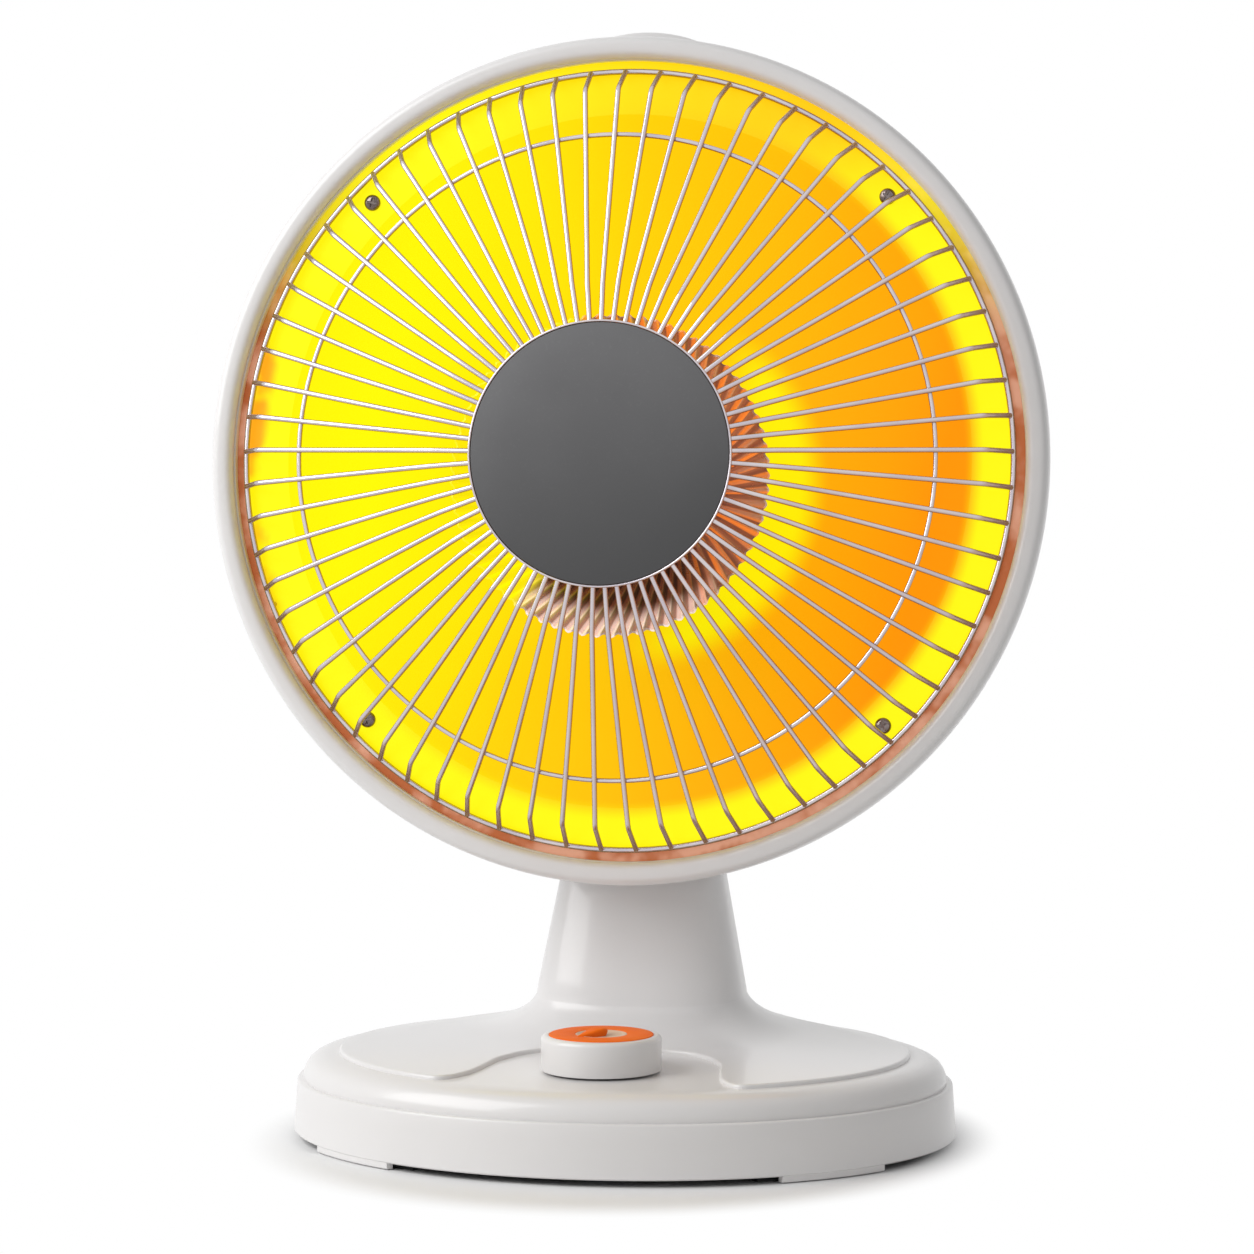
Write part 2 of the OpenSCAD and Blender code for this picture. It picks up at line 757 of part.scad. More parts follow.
module front_ring() {
    half_w = 4.5;
    inner_w = 2.5;
    lip_z = flange_z + 0.3;
    mid_r = ring_r - half_w;
    color(white) in_head() difference() {
        rotate_extrude() polygon(concat(
        [for (i = [0 : 14]) let (t = 180 * i / 14)
            [mid_r + half_w * cos(t), lip_z + bezel_crest * sin(t)]],
        [for (i = [14 : -1 : 0]) let (t = 180 * i / 14)
            [mid_r + inner_w * cos(t), lip_z + (bezel_crest - 2) * sin(t)]],
        [[ring_r - 2, shell_rim_z - 1], [ring_r, shell_rim_z - 1]]));
        at_shell_screws() translate([0, 0, -3]) cylinder(r = 1.3 + screw_gap, h = 6);
        at_shell_screws() cylinder(r = 2.5, h = 6);
    }
}

// Four countersunk side screws hold the front ring to the shell's rim
ring_screw_z = -9;
module at_shell_screws() {
    for (a = [0 : 90 : 270])
        rotate(a + 20) translate([ring_r - 1, 0, ring_screw_z]) rotate([0, 90, 0]) children();
}
module shell_screws() {
    color(steel) in_head() at_shell_screws() pan_screw(2.4, 0.8, 1.3, 4);
}

handle_t = 9;
handle_w = 15;
handle_depth = 47;
handle_center = ring_r + 8.5 - handle_t / 2 - handle_r;
module carry_handle() {
    color(white) in_head() difference() {
        union() {
            translate([0, handle_center, -handle_depth]) rotate_extrude()
                translate([handle_r, 0]) intersection() {
                    square([handle_t, handle_w], center = true);
                    circle(r = handle_w * 0.54);
                }
            // Feet of the arch
            for (s = [-1, 1]) hull() {
                translate([s * handle_r * 0.97, handle_center + 4, -handle_depth]) rotate([90, 0, 0])
                    cylinder(r = 7.5, h = 1, $fn = 32);
                translate([s * handle_r * 0.97, handle_center - 6, -handle_depth]) rotate([90, 0, 0])
                    cylinder(r = 9.5, h = 1, $fn = 32);
            }
        }
        bowl_solid(0.1);
        translate([-100, -100, -100]) cube([200, 100 + handle_center - 20, 200]);
        at_handle_screws() translate([0, 0, -23]) cylinder(r = screw_r + screw_gap, h = 28);
    }
}

module at_handle_screws() {
    for (s = [-1, 1])
        translate([s * handle_r * 0.95, handle_center - 11, -handle_depth + 1])
            rotate([90, 0, 0]) children();
}

module handle_screws() {
    color(steel) in_head() at_handle_screws() pan_screw(screw_head_r, screw_head_h, screw_r, 22);
}

// --- Reflector and heating element ---

dish_steps = 20;
module reflector() {
    path = concat(
        [for (i = [0 : dish_steps]) let (r = dish_hole_r + (dish_r - dish_hole_r) * i / dish_steps)
            [r, dish_z(r)]],
        [[flange_r, flange_z]]);
    color([1, 0.8, 0.1]) in_head() difference() {
        rotate_extrude() polygon(concat(path,
            [for (i = [len(path) - 1 : -1 : 0]) [path[i][0], path[i][1] - sheet_t]]));
        at_reflector_screws() translate([0, 0, flange_z - 3]) cylinder(r = screw_r + 0.3, h = 6);
        at_hooks() translate([0, 0, flange_z - 3]) cylinder(r = hook_r + 0.4, h = 6);
    }
}

module reflector_screws() {
    color(steel) in_head() at_reflector_screws() translate([0, 0, flange_z])
        pan_screw(3.1, 2.2, screw_r, 9);
}

// The heating element stands a little below the axis of the dish
module at_element(z) {
    in_head() translate([0, -element_drop, z]) children();
}

core_tip_z = 26;
core_foot_z = dish_z(dish_hole_r) + 17.9;
core_taper = 8;
stem_r = 12.5;
stem_h = 22;

collar_foot_r = 34;
collar_mouth_z = 30;
collar_t = 1.4;
// The collar's floor is held between the core's foot and the socket
collar_floor_t = 1.2;
collar_floor_z = core_foot_z - 0.1;
module fluted_collar() {
    floor_in_r = stem_r + 0.7;
    color([0.72, 0.55, 0.45]) at_element(0) rotate_extrude()
        polygon([[collar_foot_r, collar_floor_z - collar_floor_t], [collar_foot_r, collar_floor_z],
            [collar_r, collar_mouth_z], [collar_r - collar_t, collar_mouth_z],
            [collar_foot_r - collar_t, collar_floor_z], [floor_in_r, collar_floor_z],
            [floor_in_r, collar_floor_z - collar_floor_t]]);
}

module ceramic_core() {
    color([0.95, 0.93, 0.88]) {
        at_element(core_foot_z)
            cylinder(r1 = core_r, r2 = core_r - core_taper, h = core_tip_z - core_foot_z);
        at_element(core_foot_z - stem_h) cylinder(r = stem_r, h = stem_h + 0.5);
    }
}

coil_t = 3;
coil_end = 6;
function core_radius(up) = core_r - core_taper * up / (core_tip_z - core_foot_z);
module heating_coil() {
    // Outer form of the coiled wire that is wound round the core
    h = core_tip_z - core_foot_z - 2 * coil_end;
    color([0.9, 0.35, 0.1]) at_element(core_foot_z + coil_end) rotate_extrude()
        polygon([[core_radius(coil_end) + 0.1, 0], [core_radius(coil_end) + coil_t, 0],
            [core_radius(coil_end + h) + coil_t, h], [core_radius(coil_end + h) + 0.1, h]]);
}

socket_r = 19;
socket_floor_t = 3;
socket_z = core_foot_z - stem_h - socket_floor_t - 1;
socket_top_z = collar_floor_z - collar_floor_t - 0.1;
module element_socket() {
    color([0.9, 0.88, 0.82]) at_element(socket_z) difference() {
        cylinder(r = socket_r, h = socket_top_z - socket_z);
        translate([0, 0, socket_floor_t]) cylinder(r = stem_r + 0.2, h = 30);
    }
}

bracket_t = 1.5;
bracket_w = 46;
bracket_z = socket_z + 3;
bracket_half = dish_r * 0.535;
module element_bracket() {
    // Steel strap across the back of the dish that carries the socket
    leg_h = dish_z(bracket_half) - sheet_t - 1.2 - bracket_z;
    color(steel) difference() {
        in_head() translate([0, -element_drop, bracket_z]) {
            translate([-bracket_half, -bracket_w / 2, 0]) cube([2 * bracket_half, bracket_w, bracket_t]);
            for (s = [-1, 1])
                translate([s * bracket_half - bracket_t / 2, -bracket_w / 2, 0])
                    cube([bracket_t, bracket_w, leg_h]);
        }
        at_element(socket_z) cylinder(r = socket_r + 0.2, h = 20);
    }
}

module thermal_cutout() {
    color([0.15, 0.15, 0.15]) in_head() translate([42, 0, bracket_z - 0.1]) mirror([0, 0, 1]) {
        cylinder(r = 8, h = 7);
        translate([-1, -10, 3]) cube([2, 20, 2]);
    }
}

shield_r = dish_r - 13;
shield_hole_r = 78;
shield_gap = 9;
shield_t = 0.6;
function shield_line(back) = [for (i = [0 : 10])
    let (r = shield_hole_r + (shield_r - shield_hole_r) * i / 10) [r, dish_z(r) - shield_gap - back]];
module heat_shield() {
    color([0.8, 0.8, 0.82]) in_head() rotate_extrude() polygon(concat(
        shield_line(0), [for (i = [len(shield_line(0)) - 1 : -1 : 0]) shield_line(shield_t)[i]]));
}

head_wire_length = dish_r * 0.3;
module head_wiring() {
    for (i = [-1 : 1])
        color(wire_colours[i + 1]) at_element(socket_z)
            translate([i * 3.2, -socket_r, -wire_r - 0.2]) rotate([90, 0, 0])
                cylinder(r = wire_r, h = head_wire_length, $fn = 24);
}

// --- Guard ---

// One bent wire, swept along its path in the plane of its radius
function unit(v) = v / norm(v);
// Points of a bend at corner b, rounded with radius r
function bend(a, b, c, r) =
    let (u = unit(b - a), v = unit(c - b), turn = acos(u * v), back = r * tan(turn / 2))
    [b - u * back, b + v * back];
wire_path = concat([wire_start], bend(wire_start, shoulder, knee, shoulder_bend),
    bend(shoulder, knee, wire_tip, knee_bend), [wire_tip]);
wire_last = len(wire_path) - 1;
wire_sides = 6;
// Direction of the path at point i
function heading(i) = unit(unit(wire_path[min(i + 1, wire_last)] - wire_path[max(i - 1, 0)]));
function wire_ring(i) = let (h = heading(i), p = wire_path[i])
    [for (k = [0 : wire_sides - 1]) let (a = 360 * k / wire_sides, in_plane = cos(a) * wire_d / 2)
        [p[0] - h[1] * in_plane, sin(a) * wire_d / 2, p[1] + h[0] * in_plane]];

module bent_wire() {
    points = [for (i = [0 : wire_last]) each wire_ring(i)];
    sides = [for (i = [0 : wire_last - 1], k = [0 : wire_sides - 1])
        let (a = i * wire_sides + k, b = i * wire_sides + (k + 1) % wire_sides)
        [b, a, a + wire_sides, b + wire_sides]];
    first = [for (k = [0 : wire_sides - 1]) k];
    last = [for (k = [wire_sides - 1 : -1 : 0]) wire_last * wire_sides + k];
    polyhedron(points, concat(sides, [first, last]));
}

module guard_wires() {
    color(steel) in_head()
        for (i = [0 : wire_count - 1]) rotate(90 + 360 * i / wire_count) bent_wire();
}

hook_r = 1;
module at_hooks() {
    for (a = [0 : 90 : 270]) rotate(a + 22) translate([guard_r, 0, 0]) children();
}

module guard_outer_ring() {
    color(steel) in_head() {
        rotate_extrude() translate([guard_r, 0]) circle(d = ring_wire_d, $fn = 24);
        // Hooks that pass through the flange and hold the guard
        at_hooks() translate([0, 0, flange_z - 5]) cylinder(r = hook_r, h = 5 - flange_z);
    }
}

// Height of a wire's centre line between the shoulder and the knee
function wire_height(r) = shoulder[1] + (knee[1] - shoulder[1]) * (shoulder[0] - r) / (shoulder[0] - knee[0]);

module guard_mid_ring() {
    lean = atan2(knee[1] - shoulder[1], shoulder[0] - knee[0]);
    down = (wire_d + mid_wire_d) / 2 - weld;
    color(steel) in_head() rotate_extrude()
        translate([mid_ring_r - down * sin(lean), wire_height(mid_ring_r) - down * cos(lean)])
            circle(d = mid_wire_d, $fn = 24);
}

module guard_hub_plate() {
    color([0.42, 0.42, 0.43]) in_head() translate([0, 0, guard_depth]) cylinder(r = hub_r - 0.6, h = 1.2);
}

module guard_hub_rim() {
    color([0.9, 0.88, 0.86]) in_head() translate([0, 0, guard_depth - 0.1]) difference() {
        cylinder(r = hub_r + 0.3, h = 1.6);
        translate([0, 0, -1]) cylinder(r = hub_r - 0.55, h = 4);
    }
}

// --- Assembly ---

base_skirt();
bottom_plate();
foot_pads();
base_screws();
base_ballast();
top_cover();
column_cap();
cap_screws();
swivel_bush();
swing_motor();
motor_screws();
cord_gland();
terminal_block();
rotary_switch();
base_wiring();
tip_switch();
tip_plunger();
knob_shaft();
knob_body();
knob_ring();
knob_disc();
knob_grip();
crank_disc();
swivel_fork();
swivel_axle();
axle_clip();
crank_arm();
arm_screw();
tilt_pin();
tilt_nut();
tilt_washers();
tilt_block();
block_screws();
rear_shell();
front_ring();
shell_screws();
carry_handle();
handle_screws();
reflector();
reflector_screws();
fluted_collar();
ceramic_core();
heating_coil();
element_socket();
element_bracket();
thermal_cutout();
heat_shield();
head_wiring();
guard_wires();
guard_outer_ring();
guard_mid_ring();
guard_hub_plate();
guard_hub_rim();
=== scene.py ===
# Dish heater on an oval base: the looks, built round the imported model.
# Sizes in the settings are millimetres, the meshes are in metres.
import json
import math
import bmesh
import bpy
import numpy as np
from mathutils import Matrix, Vector

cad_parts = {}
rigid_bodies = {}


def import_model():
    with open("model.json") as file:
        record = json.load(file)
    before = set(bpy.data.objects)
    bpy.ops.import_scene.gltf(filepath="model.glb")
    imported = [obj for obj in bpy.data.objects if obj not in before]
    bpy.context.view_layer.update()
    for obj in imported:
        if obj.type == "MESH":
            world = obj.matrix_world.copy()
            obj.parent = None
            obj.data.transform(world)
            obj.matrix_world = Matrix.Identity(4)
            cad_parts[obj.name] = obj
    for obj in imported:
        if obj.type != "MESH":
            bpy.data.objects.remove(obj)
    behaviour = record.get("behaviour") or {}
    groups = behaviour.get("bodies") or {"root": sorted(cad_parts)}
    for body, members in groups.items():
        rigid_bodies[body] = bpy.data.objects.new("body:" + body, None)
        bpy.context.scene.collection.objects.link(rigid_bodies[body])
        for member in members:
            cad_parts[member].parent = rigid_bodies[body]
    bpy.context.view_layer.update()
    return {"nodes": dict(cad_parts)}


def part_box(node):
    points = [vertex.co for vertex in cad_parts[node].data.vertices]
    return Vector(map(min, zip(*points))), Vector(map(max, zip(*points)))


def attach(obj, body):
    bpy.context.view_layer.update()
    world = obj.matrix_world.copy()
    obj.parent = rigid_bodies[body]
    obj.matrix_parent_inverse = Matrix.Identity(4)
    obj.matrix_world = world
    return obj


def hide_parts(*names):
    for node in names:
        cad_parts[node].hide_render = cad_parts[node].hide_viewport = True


for thing in list(bpy.data.objects):
    bpy.data.objects.remove(thing)
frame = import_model()
mm = 0.001
weldGap = 0.001 * mm  # points closer than this become one

# Tools

def clearSelection():
    if bpy.context.mode != "OBJECT":
        bpy.ops.object.mode_set(mode="OBJECT")
    bpy.ops.object.select_all(action="DESELECT")


def choose(piece):
    clearSelection()
    piece.select_set(True)
    bpy.context.view_layer.objects.active = piece


def closeUp(piece):
    # doubles first, then faces outward
    choose(piece)
    bpy.ops.object.mode_set(mode="EDIT")
    bpy.ops.mesh.select_all(action="SELECT")
    bpy.ops.mesh.remove_doubles(threshold=weldGap)
    bpy.ops.mesh.normals_make_consistent(inside=False)
    bpy.ops.object.mode_set(mode="OBJECT")


def applyPlace(piece, place=None):
    if place is not None:
        piece.matrix_world = place @ piece.matrix_world
    choose(piece)
    bpy.ops.object.transform_apply(location=True, rotation=True, scale=True)


def joinPieces(pieces, name):
    clearSelection()
    for p in pieces:
        p.select_set(True)
    bpy.context.view_layer.objects.active = pieces[0]
    if len(pieces) > 1:
        bpy.ops.object.join()
    pieces[0].name = name
    return pieces[0]


def copyOf(piece, turn):
    # its own mesh, with the turn or shift in the mesh
    other = piece.copy()
    other.data = piece.data.copy()
    bpy.context.scene.collection.objects.link(other)
    other.data.transform(turn)
    return other


def spinLine(name, line, steps=96, sweep=360, centre=(0, 0), start=0):
    # extrudes a [radius, height] line corner by corner and spins it round a centre
    clearSelection()
    bpy.ops.mesh.primitive_plane_add(size=mm)
    piece = bpy.context.object
    piece.name = name
    bpy.ops.object.mode_set(mode="EDIT")
    bpy.ops.mesh.select_all(action="SELECT")
    bpy.ops.mesh.merge(type="CENTER")
    bpy.ops.transform.translate(value=((centre[0] + line[0][0]) * mm, centre[1] * mm, line[0][1] * mm))
    for a, b in zip(line, line[1:]):
        bpy.ops.mesh.extrude_region_move(
            TRANSFORM_OT_translate={"value": ((b[0] - a[0]) * mm, 0, (b[1] - a[1]) * mm)})
    middle = (centre[0] * mm, centre[1] * mm, 0)
    bpy.ops.mesh.select_all(action="SELECT")
    if start:
        turned = bmesh.from_edit_mesh(piece.data)
        bmesh.ops.rotate(turned, verts=turned.verts, cent=middle,
                         matrix=Matrix.Rotation(math.radians(start), 3, "Z"))
        bmesh.update_edit_mesh(piece.data)
    bpy.ops.mesh.spin(steps=steps, angle=math.radians(sweep), center=middle, axis=(0, 0, -1))
    bpy.ops.mesh.select_all(action="SELECT")
    bpy.ops.mesh.remove_doubles(threshold=weldGap)
    if sweep < 360:
        bpy.ops.mesh.fill_holes(sides=0)
        bpy.ops.mesh.select_all(action="SELECT")
    bpy.ops.mesh.normals_make_consistent(inside=False)
    bpy.ops.object.mode_set(mode="OBJECT")
    return piece


def loftRings(name, rings, capFirst=True, capLast=True, closed=False):
    # a circle extruded from ring to ring, each ring set to its points
    count = len(rings[0])
    clearSelection()
    bpy.ops.mesh.primitive_circle_add(vertices=count, radius=mm)
    piece = bpy.context.object
    piece.name = name
    bpy.ops.object.mode_set(mode="EDIT")
    for i, ring in enumerate(rings):
        if i:
            bpy.ops.mesh.extrude_region_move(TRANSFORM_OT_translate={"value": (0, 0, mm)})
        cage = bmesh.from_edit_mesh(piece.data)
        cage.verts.ensure_lookup_table()
        loop = sorted((v for v in cage.verts if v.select), key=lambda v: v.index)
        for v, p in zip(loop, ring):
            v.co = Vector(p) * mm
        if i == 0 and capFirst:
            first = [v.index for v in loop]
        bmesh.update_edit_mesh(piece.data)
    if closed:
        bpy.ops.mesh.select_all(action="SELECT")
        bpy.ops.mesh.remove_doubles(threshold=weldGap)
    elif capLast:
        bpy.ops.mesh.edge_face_add()
    if capFirst and not closed:
        bpy.ops.mesh.select_all(action="DESELECT")
        cage = bmesh.from_edit_mesh(piece.data)
        cage.verts.ensure_lookup_table()
        for k in first:
            cage.verts[k].select = True
        cage.select_flush_mode()
        bmesh.update_edit_mesh(piece.data)
        bpy.ops.mesh.edge_face_add()
    bpy.ops.mesh.select_all(action="SELECT")
    bpy.ops.mesh.normals_make_consistent(inside=False)
    bpy.ops.object.mode_set(mode="OBJECT")
    return piece


def cutWith(piece, cutter, operation="DIFFERENCE"):
    choose(piece)
    cut = piece.modifiers.new("cut", "BOOLEAN")
    cut.operation = operation
    cut.solver = "EXACT"
    cut.object = cutter
    bpy.ops.object.modifier_apply(modifier=cut.name)
    bpy.data.objects.remove(cutter)


def finishPiece(piece, body, slotName, nodes, angle, place=None):
    if place is not None:
        applyPlace(piece, place)
    choose(piece)
    bpy.ops.object.shade_smooth_by_angle(angle=math.radians(angle))
    piece.data.materials.clear()
    piece.data.materials.append(finishes[slotName])
    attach(piece, body)
    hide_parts(*nodes)


def arc(centre, radii, fromAngle, toAngle, steps):
    # points on an ellipse arc, angles in degrees
    turns = [math.radians(fromAngle + (toAngle - fromAngle) * i / steps) for i in range(steps + 1)]
    return [(centre[0] + radii[0] * math.cos(t), centre[1] + radii[1] * math.sin(t)) for t in turns]


def smoothStep(x, low, high):
    t = min(1, max(0, (x - low) / (high - low)))
    return t * t * (3 - 2 * t)


# The head's own axes: +Z forward out of the dish, +Y up
ringLow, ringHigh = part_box("front_ring")
ringRadius = (ringHigh.x - ringLow.x) / 2 / mm
head = {"faceUp": 3.0, "forward": 1.0}
headCentre = Vector((0, -head["forward"] * mm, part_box("top_cover")[1].z + ringRadius * mm))
headPlace = Matrix.Translation(headCentre) @ Matrix.Rotation(math.radians(90 - head["faceUp"]), 4, "X")


# Effects that several finishes share

def newGroup(name, inputs, outputs):
    group = bpy.data.node_groups.new(name, "ShaderNodeTree")
    for label, kind, value in inputs:
        socket = group.interface.new_socket(label, in_out="INPUT", socket_type=kind)
        socket.default_value = value
    for label, kind in outputs:
        group.interface.new_socket(label, in_out="OUTPUT", socket_type=kind)
    return group, group.nodes.new("NodeGroupInput"), group.nodes.new("NodeGroupOutput")


def mathNode(tree, operation, a, b=None, clamp=False):
    node = tree.nodes.new("ShaderNodeMath")
    node.operation = operation
    node.use_clamp = clamp
    for i, value in enumerate((a, b)):
        if value is None:
            continue
        if isinstance(value, (int, float)):
            node.inputs[i].default_value = value
        else:
            tree.links.new(value, node.inputs[i])
    return node.outputs[0]


def noiseNode(tree, vector, scale, detail=3.0, rough=0.5):
    node = tree.nodes.new("ShaderNodeTexNoise")
    node.inputs["Detail"].default_value = detail
    node.inputs["Roughness"].default_value = rough
    if isinstance(scale, (int, float)):
        node.inputs["Scale"].default_value = scale
    else:
        tree.links.new(scale, node.inputs["Scale"])
    tree.links.new(vector, node.inputs["Vector"])
    return node.outputs["Fac"]


def mixColour(tree, share, a, b, blend="MIX"):
    node = tree.nodes.new("ShaderNodeMix")
    node.data_type = "RGBA"
    node.blend_type = blend
    for socket, value in ((node.inputs[0], share), (node.inputs[6], a), (node.inputs[7], b)):
        if isinstance(value, (int, float)):
            socket.default_value = value
        elif isinstance(value, tuple):
            socket.default_value = (*value, 1)
        else:
            tree.links.new(value, socket)
    return node.outputs[2]


def rampBetween(tree, value, low, high, toLow=0.0, toHigh=1.0):
    node = tree.nodes.new("ShaderNodeMapRange")
    node.interpolation_type = "SMOOTHSTEP"
    node.inputs["From Min"].default_value = low
    node.inputs["From Max"].default_value = high
    node.inputs["To Min"].default_value = toLow
    node.inputs["To Max"].default_value = toHigh
    tree.links.new(value, node.inputs["Value"])
    return node.outputs["Result"]


def headCoordinates(tree, drop=0.0):
    # the head's own axes inside a material
    place = tree.nodes.new("ShaderNodeTexCoord").outputs["Object"]
    turn = tree.nodes.new("ShaderNodeMapping")
    turn.vector_type = "TEXTURE"
    turn.inputs["Location"].default_value = headPlace @ Vector((0, -drop * mm, 0))
    turn.inputs["Rotation"].default_value = (math.radians(90 - head["faceUp"]), 0, 0)
    tree.links.new(place, turn.inputs["Vector"])
    split = tree.nodes.new("ShaderNodeSeparateXYZ")
    tree.links.new(turn.outputs["Vector"], split.inputs["Vector"])
    across = [mathNode(tree, "MULTIPLY", split.outputs[k], 1000.0) for k in range(3)]
    squares = mathNode(tree, "ADD", mathNode(tree, "MULTIPLY", across[0], across[0]),
                       mathNode(tree, "MULTIPLY", across[1], across[1]))
    radius = mathNode(tree, "SQRT", squares)
    return turn.outputs["Vector"], across, radius


def facingShare(tree, direction=(0, 0, 1)):
    # how far a face looks along one of the head's directions, from the mesh's own normals
    facing = tree.nodes.new("ShaderNodeVectorMath")
    facing.operation = "DOT_PRODUCT"
    facing.inputs[1].default_value = headPlace.to_3x3() @ Vector(direction)
    tree.links.new(tree.nodes.new("ShaderNodeTexCoord").outputs["Normal"], facing.inputs[0])
    return facing.outputs["Value"]


def slanted(tree, along, across, share):
    return mathNode(tree, "ADD", along, mathNode(tree, "MULTIPLY", across, share))


def newMaterial(name):
    material = bpy.data.materials.new(name)
    material.use_nodes = True
    return material, material.node_tree, material.node_tree.nodes["Principled BSDF"]


def buildToneGroup():
    # slow drift of a colour over the surface, and dust in the fine noise
    group, inputs, outputs = newGroup("surfaceTone", [
        ("Colour", "NodeSocketColor", (0.8, 0.8, 0.8, 1)), ("Tint", "NodeSocketColor", (0.7, 0.7, 0.7, 1)),
        ("Patch Size", "NodeSocketFloat", 12.0), ("Tint Share", "NodeSocketFloat", 0.2),
        ("Speck Share", "NodeSocketFloat", 0.05)], [("Colour", "NodeSocketColor")])
    place = group.nodes.new("ShaderNodeTexCoord").outputs["Object"]
    patches = rampBetween(group, noiseNode(group, place, inputs.outputs["Patch Size"]), 0.35, 0.7)
    specks = rampBetween(group, noiseNode(group, place, 900.0, 1.0), 0.62, 0.72)
    share = mathNode(group, "MULTIPLY", patches, inputs.outputs["Tint Share"])
    dust = mathNode(group, "MULTIPLY", specks, inputs.outputs["Speck Share"])
    mask = mathNode(group, "ADD", share, dust, clamp=True)
    colour = mixColour(group, mask, inputs.outputs["Colour"], inputs.outputs["Tint"])
    group.links.new(colour, outputs.inputs["Colour"])
    return group


def buildReliefGroup():
    # fine unevenness: a height for bumps and a roughness that wanders
    group, inputs, outputs = newGroup("fineRelief", [
        ("Size", "NodeSocketFloat", 600.0), ("Rough", "NodeSocketFloat", 0.3),
        ("Rough Spread", "NodeSocketFloat", 0.1), ("Smudge Size", "NodeSocketFloat", 30.0)],
        [("Height", "NodeSocketFloat"), ("Roughness", "NodeSocketFloat")])
    place = group.nodes.new("ShaderNodeTexCoord").outputs["Object"]
    height = noiseNode(group, place, inputs.outputs["Size"], 2.0)
    smudge = noiseNode(group, place, inputs.outputs["Smudge Size"], 4.0, 0.6)
    offset = mathNode(group, "SUBTRACT", smudge, 0.5)
    swing = mathNode(group, "MULTIPLY", offset, inputs.outputs["Rough Spread"])
    rough = mathNode(group, "ADD", swing, inputs.outputs["Rough"], clamp=True)
    group.links.new(height, outputs.inputs["Height"])
    group.links.new(rough, outputs.inputs["Roughness"])
    return group


toneGroup = buildToneGroup()
reliefGroup = buildReliefGroup()


def newFinish(name, look):
    # colour from surfaceTone, roughness and bump from fineRelief, constants on the shader
    material, tree, shader = newMaterial(name)
    tone = tree.nodes.new("ShaderNodeGroup")
    tone.node_tree = toneGroup
    tone.inputs["Colour"].default_value = (*look["colour"], 1)
    tone.inputs["Tint"].default_value = (*look["tint"], 1)
    tone.inputs["Patch Size"].default_value = look.get("patch", 14.0)
    tone.inputs["Tint Share"].default_value = look.get("share", 0.3)
    tone.inputs["Speck Share"].default_value = look.get("speck", 0.04)
    relief = tree.nodes.new("ShaderNodeGroup")
    relief.node_tree = reliefGroup
    relief.inputs["Size"].default_value = look.get("grain", 700.0)
    relief.inputs["Rough"].default_value = look["rough"]
    relief.inputs["Rough Spread"].default_value = look.get("smudge", 0.08)
    bump = tree.nodes.new("ShaderNodeBump")
    bump.inputs["Strength"].default_value = look.get("bump", 0.05)
    bump.inputs["Distance"].default_value = look.get("depth", 0.1) * mm
    tree.links.new(tone.outputs["Colour"], shader.inputs["Base Color"])
    tree.links.new(relief.outputs["Roughness"], shader.inputs["Roughness"])
    tree.links.new(relief.outputs["Height"], bump.inputs["Height"])
    tree.links.new(bump.outputs["Normal"], shader.inputs["Normal"])
    shader.inputs["Metallic"].default_value = look.get("metal", 0.0)
    shader.inputs["Coat Weight"].default_value = look.get("coat", 0.0)
    shader.inputs["Coat Roughness"].default_value = look.get("coatRough", 0.08)
    shader.inputs["IOR"].default_value = look.get("ior", 1.5)
    return material


finishLooks = {
    "white_plastic": dict(colour=(0.82, 0.805, 0.80), tint=(0.77, 0.755, 0.75), rough=0.3, coat=0.3,
                          coatRough=0.05, patch=9.0, speck=0.02, bump=0.04, smudge=0.06),
    "ivory_plastic": dict(colour=(0.72, 0.66, 0.50), tint=(0.62, 0.55, 0.40), rough=0.42),
    "dark_plastic": dict(colour=(0.030, 0.030, 0.034), tint=(0.055, 0.055, 0.06), rough=0.45, bump=0.2),
    "orange_plastic": dict(colour=(1.0, 0.17, 0.004), tint=(1.0, 0.21, 0.008), rough=0.6, patch=60.0,
                           share=0.5, bump=0.08, ior=1.3),
    "cream_plastic": dict(colour=(0.72, 0.52, 0.38), tint=(0.80, 0.64, 0.52), rough=0.5, patch=90.0,
                          share=0.8, ior=1.35),
    "rubber_feet": dict(colour=(0.02, 0.02, 0.021), tint=(0.045, 0.045, 0.045), rough=0.75, bump=0.4),
    "zinc_steel": dict(colour=(0.52, 0.53, 0.55), tint=(0.66, 0.64, 0.58), rough=0.34, metal=1.0, patch=40.0,
                       share=0.6, smudge=0.2),
    "chrome_wire": dict(colour=(0.68, 0.63, 0.65), tint=(0.52, 0.48, 0.55), rough=0.2, metal=1.0, patch=45.0,
                        share=0.8, smudge=0.1, bump=0.03),
    "screw_steel": dict(colour=(0.24, 0.20, 0.19), tint=(0.10, 0.08, 0.08), rough=0.22, metal=1.0,
                        patch=500.0, share=0.6, smudge=0.2),
    "cast_weight": dict(colour=(0.10, 0.10, 0.105), tint=(0.16, 0.13, 0.11), rough=0.6, metal=0.6, bump=0.6,
                        depth=0.4, grain=350.0),
    "shield_metal": dict(colour=(0.60, 0.60, 0.62), tint=(0.45, 0.42, 0.40), rough=0.3, metal=1.0, share=0.5),
    "ceramic": dict(colour=(0.78, 0.74, 0.66), tint=(0.62, 0.54, 0.44), rough=0.35, coat=0.3, patch=60.0,
                    share=0.5, bump=0.1),
    "wire_insulation": dict(colour=(0.16, 0.07, 0.03), tint=(0.22, 0.11, 0.05), rough=0.5),
}
finishes = {slotName: newFinish(slotName, look) for slotName, look in finishLooks.items()}
print("finishes ready")


# Guard: 69 bent wires, two rings behind them, the grey plate and its rim

